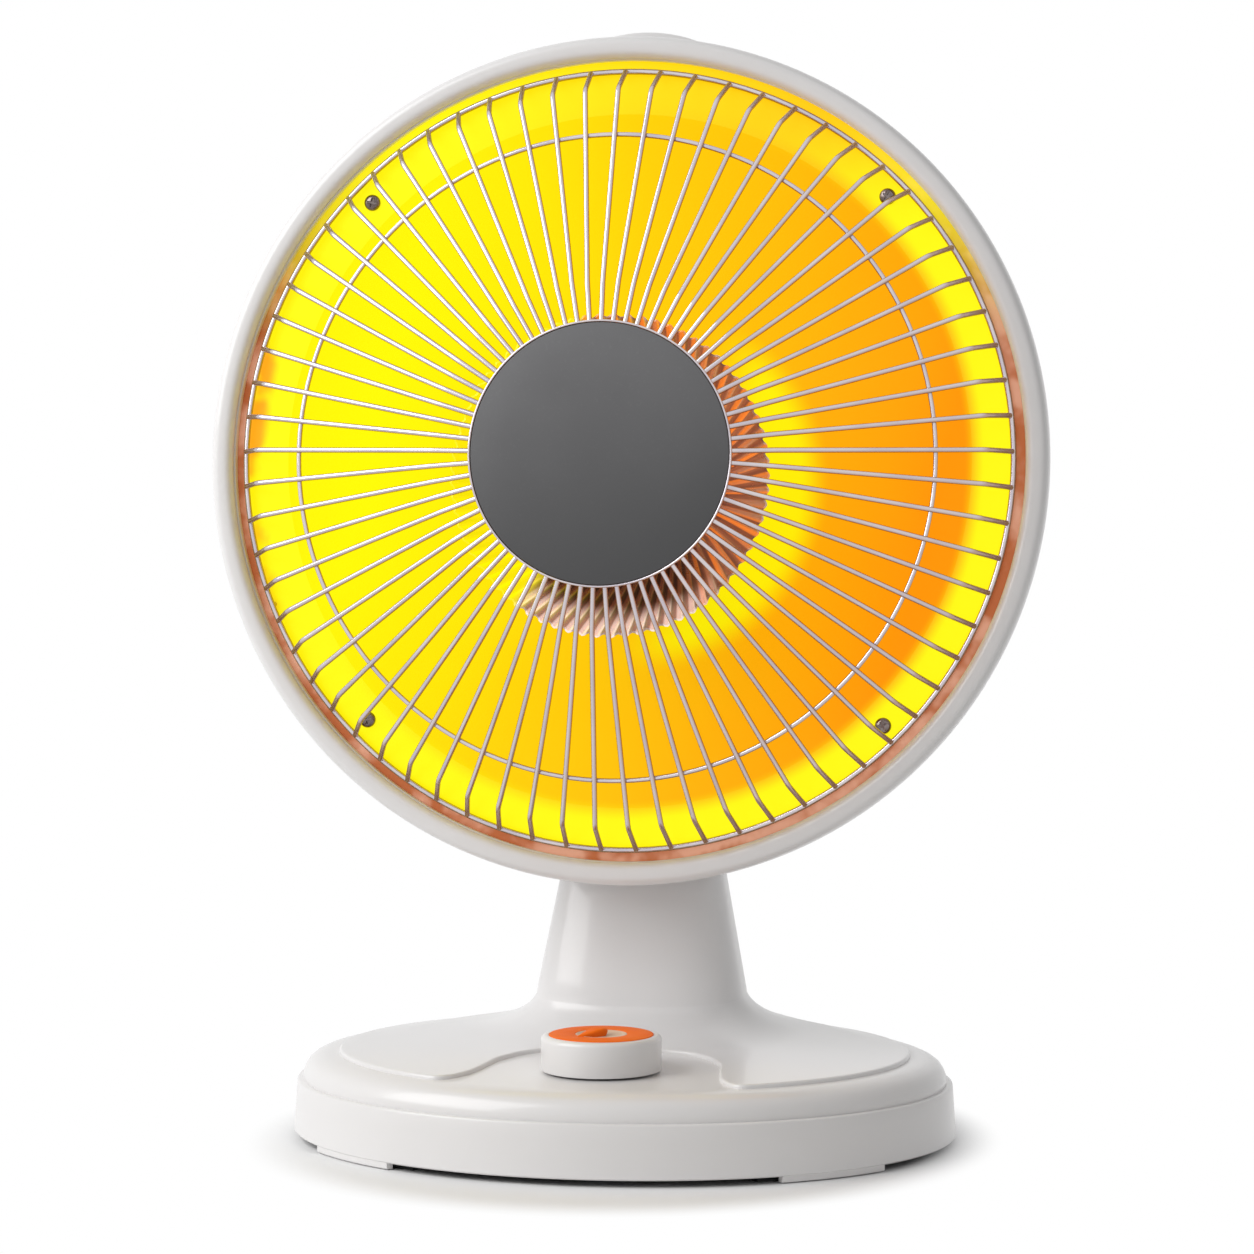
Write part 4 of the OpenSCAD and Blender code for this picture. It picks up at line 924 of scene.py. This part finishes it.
base = {"w": 252.0, "d": 205.0, "skirtZ": 2.5, "seamZ": 22.3, "draft": 1.3, "wall": 2.4, "steps": 216,
        "footIn": 0.4, "footT": 3.0, "footZ": 0.4, "footHalf": 11.0, "feet": (42, 138, -44, -136),
        "topZ": 32.05, "panelUp": 1.55, "panelW": 215.2, "panelD": 175.0,
        # the slab that the panel is cut from, and its rounded edge as steps out and down
        "slab": (224.0, 184.0), "squares": (112, 92),
        "panelEdge": ((0.35, 0.06), (0.7, 0.25), (0.98, 0.6), (1.12, 1.05), (1.15, 2.2))}
shoulder = [(3.9, 20.5), (3.6, 22.4), (3.5, 23.3), (3.8, 25.0), (4.6, 27.0), (5.8, 28.8), (7.6, 30.2),
            (9.8, 31.2), (12.2, 31.8), (14.5, 32.0)]
columnShape = {"topW": 64.0, "topD": 40.0, "footW": 86.0, "footD": 58.0, "footZ": 37.5, "topZ": 96.0,
               "y": 46.0, "lean": 6.0, "power": 2.8, "joinZ": 50.5, "flareW": 26.0, "flareH": 13.0,
               "steep": 0.985, "domeFront": 1.8, "domeBack": 5.0, "domeW": 75.0, "domeFade": 1.6,
               "domeRise": (-10, 40), "edgeFade": 11.0, "panelGap": 4.0, "sink": 0.15,
               # steps in towards the column down its fillet, and its rolled top edge as steps in and down
               "fillet": (7.0, 5.5, 4.0, 3.2, 2.5, 1.9, 1.4, 1.0, 0.65, 0.35, 0.15),
               "topRoll": ((0.1, 0.7), (0.35, 0.3), (0.8, 0.05), (1.3, 0.0))}
dipHalf = [(58, -79), (51, -71), (47, -61), (45, -48), (43, -32), (37, -19), (29, -11), (20, -8), (0, -7)]


def ovalRing(inset, z, steps=base["steps"]):
    radii = (base["w"] / 2 - inset, base["d"] / 2 - inset)
    return [(x, y, z) for x, y in arc((0, 0), radii, 0, 360, steps)[:-1]]


def columnRing(z, steps=base["steps"]):
    # rounded box outline of the column at a height
    c = columnShape
    k = (z - c["footZ"]) / (c["topZ"] - c["footZ"])
    w = (c["footW"] + (c["topW"] - c["footW"]) * k) / 2
    d = (c["footD"] + (c["topD"] - c["footD"]) * k) / 2
    points = []
    for i in range(steps):
        t = 2 * math.pi * i / steps
        x = math.copysign(abs(math.cos(t)) ** (2 / c["power"]), math.cos(t)) * w
        y = math.copysign(abs(math.sin(t)) ** (2 / c["power"]), math.sin(t)) * d
        points.append((x, y + c["y"] - c["lean"] * (1 - k), z))
    return points


joinRing = np.array([p[:2] for p in columnRing(columnShape["joinZ"], 720)])


def evenLoop(points, count):
    # points spaced evenly along a closed line
    line = np.array(points + points[:1], float)
    run = np.concatenate([[0], np.cumsum(np.linalg.norm(np.diff(line, axis=0), axis=1))])
    at = np.linspace(0, run[-1], count, endpoint=False)
    return np.column_stack([np.interp(at, run, line[:, k]) for k in range(2)])


def smoothLoop(points, passes):
    for _ in range(passes):
        points = (np.roll(points, 1, 0) + 2 * points + np.roll(points, -1, 0)) / 4
    return points


def outwardOf(points):
    along = np.roll(points, -1, 0) - np.roll(points, 1, 0)
    along /= np.linalg.norm(along, axis=1)[:, None]
    return np.column_stack([along[:, 1], -along[:, 0]])


def distanceToColumn(xy):
    # distance from each point to the column's outline, negative inside
    xy = np.asarray(xy, float)
    away = xy[:, None, :] - joinRing[None, :, :]
    dist = np.linalg.norm(away, axis=2)
    nearest = dist.argmin(1)
    normal = outwardOf(joinRing)[nearest]
    side = np.einsum("ij,ij->i", away[np.arange(len(xy)), nearest], normal)
    return np.sign(side) * dist[np.arange(len(xy)), nearest]


def easeBetween(values, low, high):
    share = np.clip((values - low) / (high - low), 0, 1)
    return share * share * (3 - 2 * share)


def flareHeight(points):
    # quarter-ellipse fillet against the column, on a low dome that is higher behind it
    c = columnShape
    xy = np.asarray(points, float)
    away = distanceToColumn(xy)
    u = c["steep"] * np.clip(1 - away / c["flareW"], 0, 1)
    dome = c["domeFront"] + (c["domeBack"] - c["domeFront"]) * easeBetween(xy[:, 1], *c["domeRise"])
    dome *= np.clip(1 - away / c["domeW"], 0, 1) ** c["domeFade"]
    half = np.array((base["w"], base["d"])) / 2 - shoulder[-1][0]
    fromEdge = (1 - np.linalg.norm(xy / half, axis=1)) * half[1]
    return (c["flareH"] * (1 - np.sqrt(1 - u * u)) + dome) * easeBetween(fromEdge, 0, c["edgeFade"])


def offsetLoop(points, away):
    return points + outwardOf(points) * away


def makeSkirt():
    b = base
    outer = [(1.1, b["skirtZ"]), (0.5, b["skirtZ"] + 0.15), (0.0, b["skirtZ"] + 0.7)]
    wallH = b["seamZ"] - 1.4 - b["skirtZ"]
    outer += [(b["draft"] * k / 4, b["skirtZ"] + 0.7 + wallH * k / 4) for k in range(1, 5)]
    outer += [(b["draft"] + 0.2, b["seamZ"] - 0.25), (b["draft"] + 0.7, b["seamZ"])]
    inner = [(b["draft"] + b["wall"], b["seamZ"]), (b["wall"] + 0.3, b["skirtZ"])]
    rings = [ovalRing(i, z) for i, z in outer + inner + outer[:1]]
    skirt = loftRings("skirtWall", rings, closed=True)
    feet = []
    out, back, footTop = -b["footIn"], -b["footIn"] - b["footT"], b["skirtZ"] + 1
    section = [(out - 0.4, b["footZ"]), (out, b["footZ"] + 0.4), (out, footTop), (back, footTop),
               (back, b["footZ"]), (out - 0.4, b["footZ"])]
    line = [(b["w"] / 2 + r, z) for r, z in section]
    for a in b["feet"]:
        foot = spinLine("foot", line, 16, 2 * b["footHalf"], start=a - b["footHalf"])
        foot.scale = (1, (b["d"] / 2 - b["footIn"]) / (b["w"] / 2 - b["footIn"]), 1)
        applyPlace(foot)
        feet.append(foot)
    skirt = joinPieces([skirt] + feet, "baseSkirt")
    finishPiece(skirt, "base", "white_plastic", ["base_skirt"], 40)


def makeCover():
    c = columnShape
    foot = np.array([p[:2] for p in columnRing(c["joinZ"])])
    near = offsetLoop(foot, c["panelGap"])
    far = np.array([p[:2] for p in ovalRing(shoulder[-1][0], 0)])
    rings = [ovalRing(i, z) for i, z in shoulder]
    spread = 44
    for k in range(1, spread + 1):
        share = k / spread
        xy = far + (near - far) * share
        z = base["topZ"] + flareHeight(xy) - (c["sink"] * 2 if k > spread - 3 else 0)
        rings.append([(x, y, h) for (x, y), h in zip(xy, z)])
    lower = loftRings("coverTop", rings, capFirst=False, capLast=False)
    panel = makePanel()
    column = makeColumn()
    cover = joinPieces([lower, panel, column], "topCover")
    finishPiece(cover, "base", "white_plastic", ["top_cover"], 50)


def makePanel():
    c = columnShape
    half = (base["panelW"] / 2, base["panelD"] / 2)
    corner = math.degrees(math.atan2(dipHalf[0][1] / half[1], dipHalf[0][0] / half[0]))
    rim = arc((0, 0), half, corner, 180 - corner, 200)
    left = [(-x, y) for x, y in dipHalf[1:]]
    right = list(reversed(dipHalf[1:-1]))
    outline = smoothLoop(evenLoop(rim + left + right, 720), 12)
    hole = offsetLoop(joinRing[::2], c["panelGap"])
    # a slab of small squares, cut to the outline, of which the top stays
    clearSelection()
    wide, deep = base["squares"]
    bpy.ops.mesh.primitive_grid_add(x_subdivisions=wide, y_subdivisions=deep, size=1)
    panel = bpy.context.object
    panel.scale = (base["slab"][0] * mm, base["slab"][1] * mm, 1)
    applyPlace(panel)
    bpy.ops.object.mode_set(mode="EDIT")
    bpy.ops.mesh.select_all(action="SELECT")
    bpy.ops.mesh.extrude_region_move(TRANSFORM_OT_translate={"value": (0, 0, -3 * mm)})
    bpy.ops.object.mode_set(mode="OBJECT")
    closeUp(panel)
    for loop, operation in ((outline, "INTERSECT"), (hole, "DIFFERENCE")):
        prism = loftRings("prism", [[(x, y, z) for x, y in loop] for z in (-2, 2)])
        cutWith(panel, prism, operation)
    bpy.ops.object.mode_set(mode="EDIT")
    bpy.ops.mesh.select_all(action="DESELECT")
    cage = bmesh.from_edit_mesh(panel.data)
    under = [f for f in cage.faces if f.normal.z < 0.5 or f.calc_center_median().z < -0.5 * mm]
    bmesh.ops.delete(cage, geom=under, context="FACES")
    bmesh.ops.remove_doubles(cage, verts=cage.verts, dist=0.02 * mm)
    cage.normal_update()
    flat = np.array([v.co[:2] for v in cage.verts]) / mm
    heights = base["topZ"] + base["panelUp"] + flareHeight(flat)
    loopEdges = [e for e in cage.edges if e.is_boundary and distanceToColumn(
        [[e.verts[0].co.x / mm, e.verts[0].co.y / mm]])[0] > c["panelGap"] + 1]
    for v, z in zip(cage.verts, heights):
        v.co.z = z * mm
    # the rounded edge: border edges extruded outward and down in short steps
    normals = outwardOf(outline)
    home = {}

    def spot(co):
        return tuple(round(t, 7) for t in co)

    for out, down in base["panelEdge"]:
        grown = bmesh.ops.extrude_edge_only(cage, edges=loopEdges)["geom"]
        fresh = [g for g in grown if isinstance(g, bmesh.types.BMVert)]
        loopEdges = [g for g in grown if isinstance(g, bmesh.types.BMEdge)]
        for v in fresh:
            at = home.get(spot(v.co), v.co.copy())
            away = outline - np.array(at[:2]) / mm
            side = normals[(away ** 2).sum(1).argmin()]
            v.co = at + Vector((side[0] * out, side[1] * out, -down)) * mm
            home[spot(v.co)] = at
    bmesh.update_edit_mesh(panel.data)
    bpy.ops.mesh.select_all(action="SELECT")
    bpy.ops.mesh.normals_make_consistent(inside=False)
    bpy.ops.object.mode_set(mode="OBJECT")
    return panel


def makeColumn():
    # rings down the fillet to the panel, then the tapered column up to its rolled top edge
    c = columnShape
    foot = np.array([p[:2] for p in columnRing(c["joinZ"])])
    rings = []
    for away in c["fillet"]:
        xy = offsetLoop(foot, away)
        z = base["topZ"] + base["panelUp"] + flareHeight(xy) - (0.12 if away > c["panelGap"] else 0)
        rings.append([(x, y, h) for (x, y), h in zip(xy, z)])
    for k in range(9):
        z = c["joinZ"] + (c["topZ"] - 1.2 - c["joinZ"]) * k / 8
        rings.append(columnRing(z))
    top = np.array([p[:2] for p in columnRing(c["topZ"])])
    for inset, down in (*c["topRoll"], (c["topW"] * 0.1, 0.0)):
        rings.append([(x, y, c["topZ"] - down) for x, y in offsetLoop(top, -inset)])
    return loftRings("columnWall", rings, capFirst=False)


# Knob: white body, orange face, pale recess and the pointer that rises to one end

knob = {"y": -47.0, "r": 22.25, "z": 32.8, "h": 13.0, "bevel": 1.9, "faceR": 19.2, "faceUp": 0.35,
        "discR": 9.5, "wall": 2.4, "hollow": 8.0, "boreR": 3.1, "seat": 1.4,
        "turn": 50, "gripBack": -11.5, "gripFront": -0.6, "gripR": 2.9, "gripTip": 0.35,
        "gripLow": 0.7, "gripH": 2.6,
        # the pointer's rings: share of its height, and size
        "gripRings": ((0, 0.86), (0.3, 0.95), (0.6, 1.0), (0.8, 0.96), (0.93, 0.84), (0.99, 0.64),
                      (1.0, 0.35))}


def makeKnob():
    place = Matrix.Translation((0, knob["y"] * mm, 0))
    r, z, faceR, discR = knob["r"], knob["z"], knob["faceR"], knob["discR"]
    top = z + knob["h"]
    faceTop = top + knob["faceUp"]
    within, ceiling, seat = r - knob["wall"], z + knob["hollow"], top - knob["seat"]
    bevel = arc((r - knob["bevel"], top - knob["bevel"]), (knob["bevel"], knob["bevel"]), 0, 90, 6)
    line = [(within, ceiling), (within, z), (r - 0.9, z), (r - 0.35, z + 0.15), (r - 0.1, z + 0.6)] + bevel
    line += [(faceR + 0.25, top), (faceR + 0.1, top - 0.2), (faceR + 0.1, seat), (knob["boreR"], seat),
             (knob["boreR"], ceiling), (within, ceiling)]
    body = spinLine("knobBody", line, 128)
    finishPiece(body, "knob", "white_plastic", ["knob_body"], 40, place)
    line = [(discR + 0.05, top - 0.6), (discR + 0.05, faceTop - 0.35), (discR + 0.2, faceTop - 0.1),
            (discR + 0.5, faceTop), (faceR - 0.6, faceTop - 0.02), (faceR - 0.15, faceTop - 0.15),
            (faceR, faceTop - 0.4), (faceR, top - 1.3), (discR + 0.05, top - 1.3), (discR + 0.05, top - 0.6)]
    face = spinLine("knobFace", line, 96)
    finishPiece(face, "knob", "orange_plastic", ["knob_ring"], 40, place)
    # the pale recess is dished, with a thin raised lip
    line = [(0, top - 0.9), (discR, top - 0.9), (discR, faceTop - 0.2), (discR - 0.25, faceTop - 0.05),
            (discR - 0.6, faceTop - 0.1), (discR - 0.95, faceTop - 0.4), (discR - 3, faceTop - 0.6),
            (0, faceTop - 0.75)]
    disc = spinLine("knobRecess", line, 72)
    finishPiece(disc, "knob", "cream_plastic", ["knob_disc"], 40, place)
    makeGrip(place, top)


def makeGrip(place, top):
    # a leaf: sharp at the low end, round and raised at the other, with a rolled upper edge
    n = knob
    front = n["gripFront"] + n["gripR"]
    half = []
    for k in range(25):
        share = k / 24
        x = n["gripBack"] + (front - n["gripBack"]) * share
        swell = math.sin(math.pi / 2 * min(1, share / 0.7)) ** 0.85
        close = math.sqrt(max(0, 1 - max(0, (x - n["gripFront"]) / n["gripR"]) ** 2))
        half.append((x, max(n["gripTip"], n["gripR"] * swell) * close))
    loop = [(x, -w) for x, w in half] + [(x, w) for x, w in reversed(half)]
    loop = smoothLoop(evenLoop(loop, 72), 1)
    middle = loop.mean(0)
    rings = []
    for share, grow in n["gripRings"]:
        ring = []
        for x, y in middle + (loop - middle) * grow:
            climb = smoothStep(x, n["gripBack"], n["gripFront"] + 1) ** 0.7
            rise = n["gripLow"] + (n["gripH"] - n["gripLow"]) * climb
            ring.append((x, y, top - 0.5 + (rise + 0.5) * share))
        rings.append(ring)
    grip = loftRings("knobGrip", rings)
    turned = place @ Matrix.Rotation(math.radians(n["turn"]), 4, "Z")
    finishPiece(grip, "knob", "orange_plastic", ["knob_grip"], 45, turned)


makeSkirt()
makeCover()
makeKnob()
print("base and knob ready")

# The CAD nodes that stay take their slot's finish

nodeSlots = {
    "dark_plastic": ["bottom_plate", "rotary_switch", "tip_switch", "tilt_washers", "axle_clip",
                     "thermal_cutout"],
    "rubber_feet": ["foot_pads"],
    "cast_weight": ["base_ballast"],
    "ivory_plastic": ["swivel_bush", "terminal_block", "crank_disc"],
    "white_plastic": ["column_cap", "cord_gland", "tip_plunger", "swivel_fork", "tilt_block"],
    "zinc_steel": ["base_screws", "cap_screws", "swing_motor", "motor_screws", "knob_shaft", "swivel_axle",
                   "crank_arm", "arm_screw", "tilt_pin", "tilt_nut", "block_screws", "handle_screws",
                   "shell_screws", "element_bracket"],
    "shield_metal": ["heat_shield"],
    "ceramic": ["element_socket"],
    "wire_insulation": ["base_wiring", "head_wiring"],
}
for slotName, names in nodeSlots.items():
    for name in names:
        node = frame["nodes"][name]
        node.data.materials.clear()
        node.data.materials.append(finishes[slotName])

# Floor, light and camera

studio = {"floor": 30.0, "floorColour": (0.90, 0.90, 0.90), "sky": 0.34, "lampPower": 14.5,
          "lampSize": 1.1, "lampPlace": (-1.0, -0.65, 0.92), "lampAim": (0, 0, 0.15),
          "shadowOval": (0.122, 0.132), "shadowFade": (0.95, 1.18)}


def seenDirectly(tree):
    path = tree.nodes.new("ShaderNodeLightPath")
    either = mathNode(tree, "MAXIMUM", path.outputs["Is Camera Ray"], path.outputs["Is Glossy Ray"])
    return mathNode(tree, "MAXIMUM", either, path.outputs["Is Transmission Ray"])


def floorFinish():
    # the pale floor keeps the shadow under the base and runs out into plain white
    material, tree, shader = newMaterial("paleFloor")
    shader.inputs["Base Color"].default_value = (*studio["floorColour"], 1)
    shader.inputs["Roughness"].default_value = 0.6
    shader.inputs["Specular IOR Level"].default_value = 0.1
    split = tree.nodes.new("ShaderNodeSeparateXYZ")
    tree.links.new(tree.nodes.new("ShaderNodeTexCoord").outputs["Object"], split.inputs["Vector"])
    squares = [mathNode(tree, "POWER", mathNode(tree, "DIVIDE", mathNode(tree, "ABSOLUTE", split.outputs[k]),
                                                studio["shadowOval"][k]), 2.0) for k in range(2)]
    out = mathNode(tree, "SQRT", mathNode(tree, "ADD", *squares))
    white = tree.nodes.new("ShaderNodeEmission")
    blend = tree.nodes.new("ShaderNodeMixShader")
    share = mathNode(tree, "MULTIPLY", rampBetween(tree, out, *studio["shadowFade"]), seenDirectly(tree))
    tree.links.new(share, blend.inputs[0])
    tree.links.new(shader.outputs[0], blend.inputs[1])
    tree.links.new(white.outputs[0], blend.inputs[2])
    tree.links.new(blend.outputs[0], tree.nodes["Material Output"].inputs["Surface"])
    return material


def makeStudio():
    clearSelection()
    bpy.ops.mesh.primitive_plane_add(size=studio["floor"])
    floor = bpy.context.object
    floor.name = "floor"
    floor.data.materials.append(floorFinish())
    world = bpy.data.worlds.new("studio")
    bpy.context.scene.world = world
    world.use_nodes = True
    tree = world.node_tree
    sky = tree.nodes["Background"]
    sky.inputs["Color"].default_value = (1, 1, 1, 1)
    shown = seenDirectly(tree)
    strength = mathNode(tree, "ADD", mathNode(tree, "MULTIPLY", shown, 1.0 - studio["sky"]), studio["sky"])
    tree.links.new(strength, sky.inputs["Strength"])
    softbox = bpy.data.lights.new("softbox", "AREA")
    softbox.energy = studio["lampPower"]
    softbox.size = studio["lampSize"]
    lamp = bpy.data.objects.new("softbox", softbox)
    lamp.location = studio["lampPlace"]
    lamp.rotation_euler = (Vector(studio["lampAim"]) - lamp.location).to_track_quat("-Z", "Y").to_euler()
    bpy.context.scene.collection.objects.link(lamp)


# Read off the photograph, in its own 1254 pixels: the row of the horizon and the base's middle
view = {"turn": 10.0, "distance": 1390.0, "height": 257.0, "focal": 3685.0, "horizon": 458.0, "middle": 623.5,
        "frame": 1254.0}


def makeCamera():
    turn = math.radians(view["turn"])
    pitch = math.atan((view["frame"] / 2 - view["horizon"]) / view["focal"])
    yaw = math.atan((view["frame"] / 2 - view["middle"]) / view["focal"])
    data = bpy.data.cameras.new("camera")
    data.sensor_width = 36.0
    data.lens = view["focal"] / view["frame"] * data.sensor_width
    data.clip_start = 0.05
    camera = bpy.data.objects.new("camera", data)
    camera.location = (view["distance"] * mm * math.sin(turn), -view["distance"] * mm * math.cos(turn),
                       view["height"] * mm)
    camera.rotation_euler = (math.pi / 2 - pitch, 0, turn - yaw)
    bpy.context.scene.collection.objects.link(camera)
    bpy.context.scene.camera = camera


makeStudio()
makeCamera()
scene = bpy.context.scene
scene.view_settings.view_transform = "Standard"
bpy.context.view_layer.update()
print("scene ready")
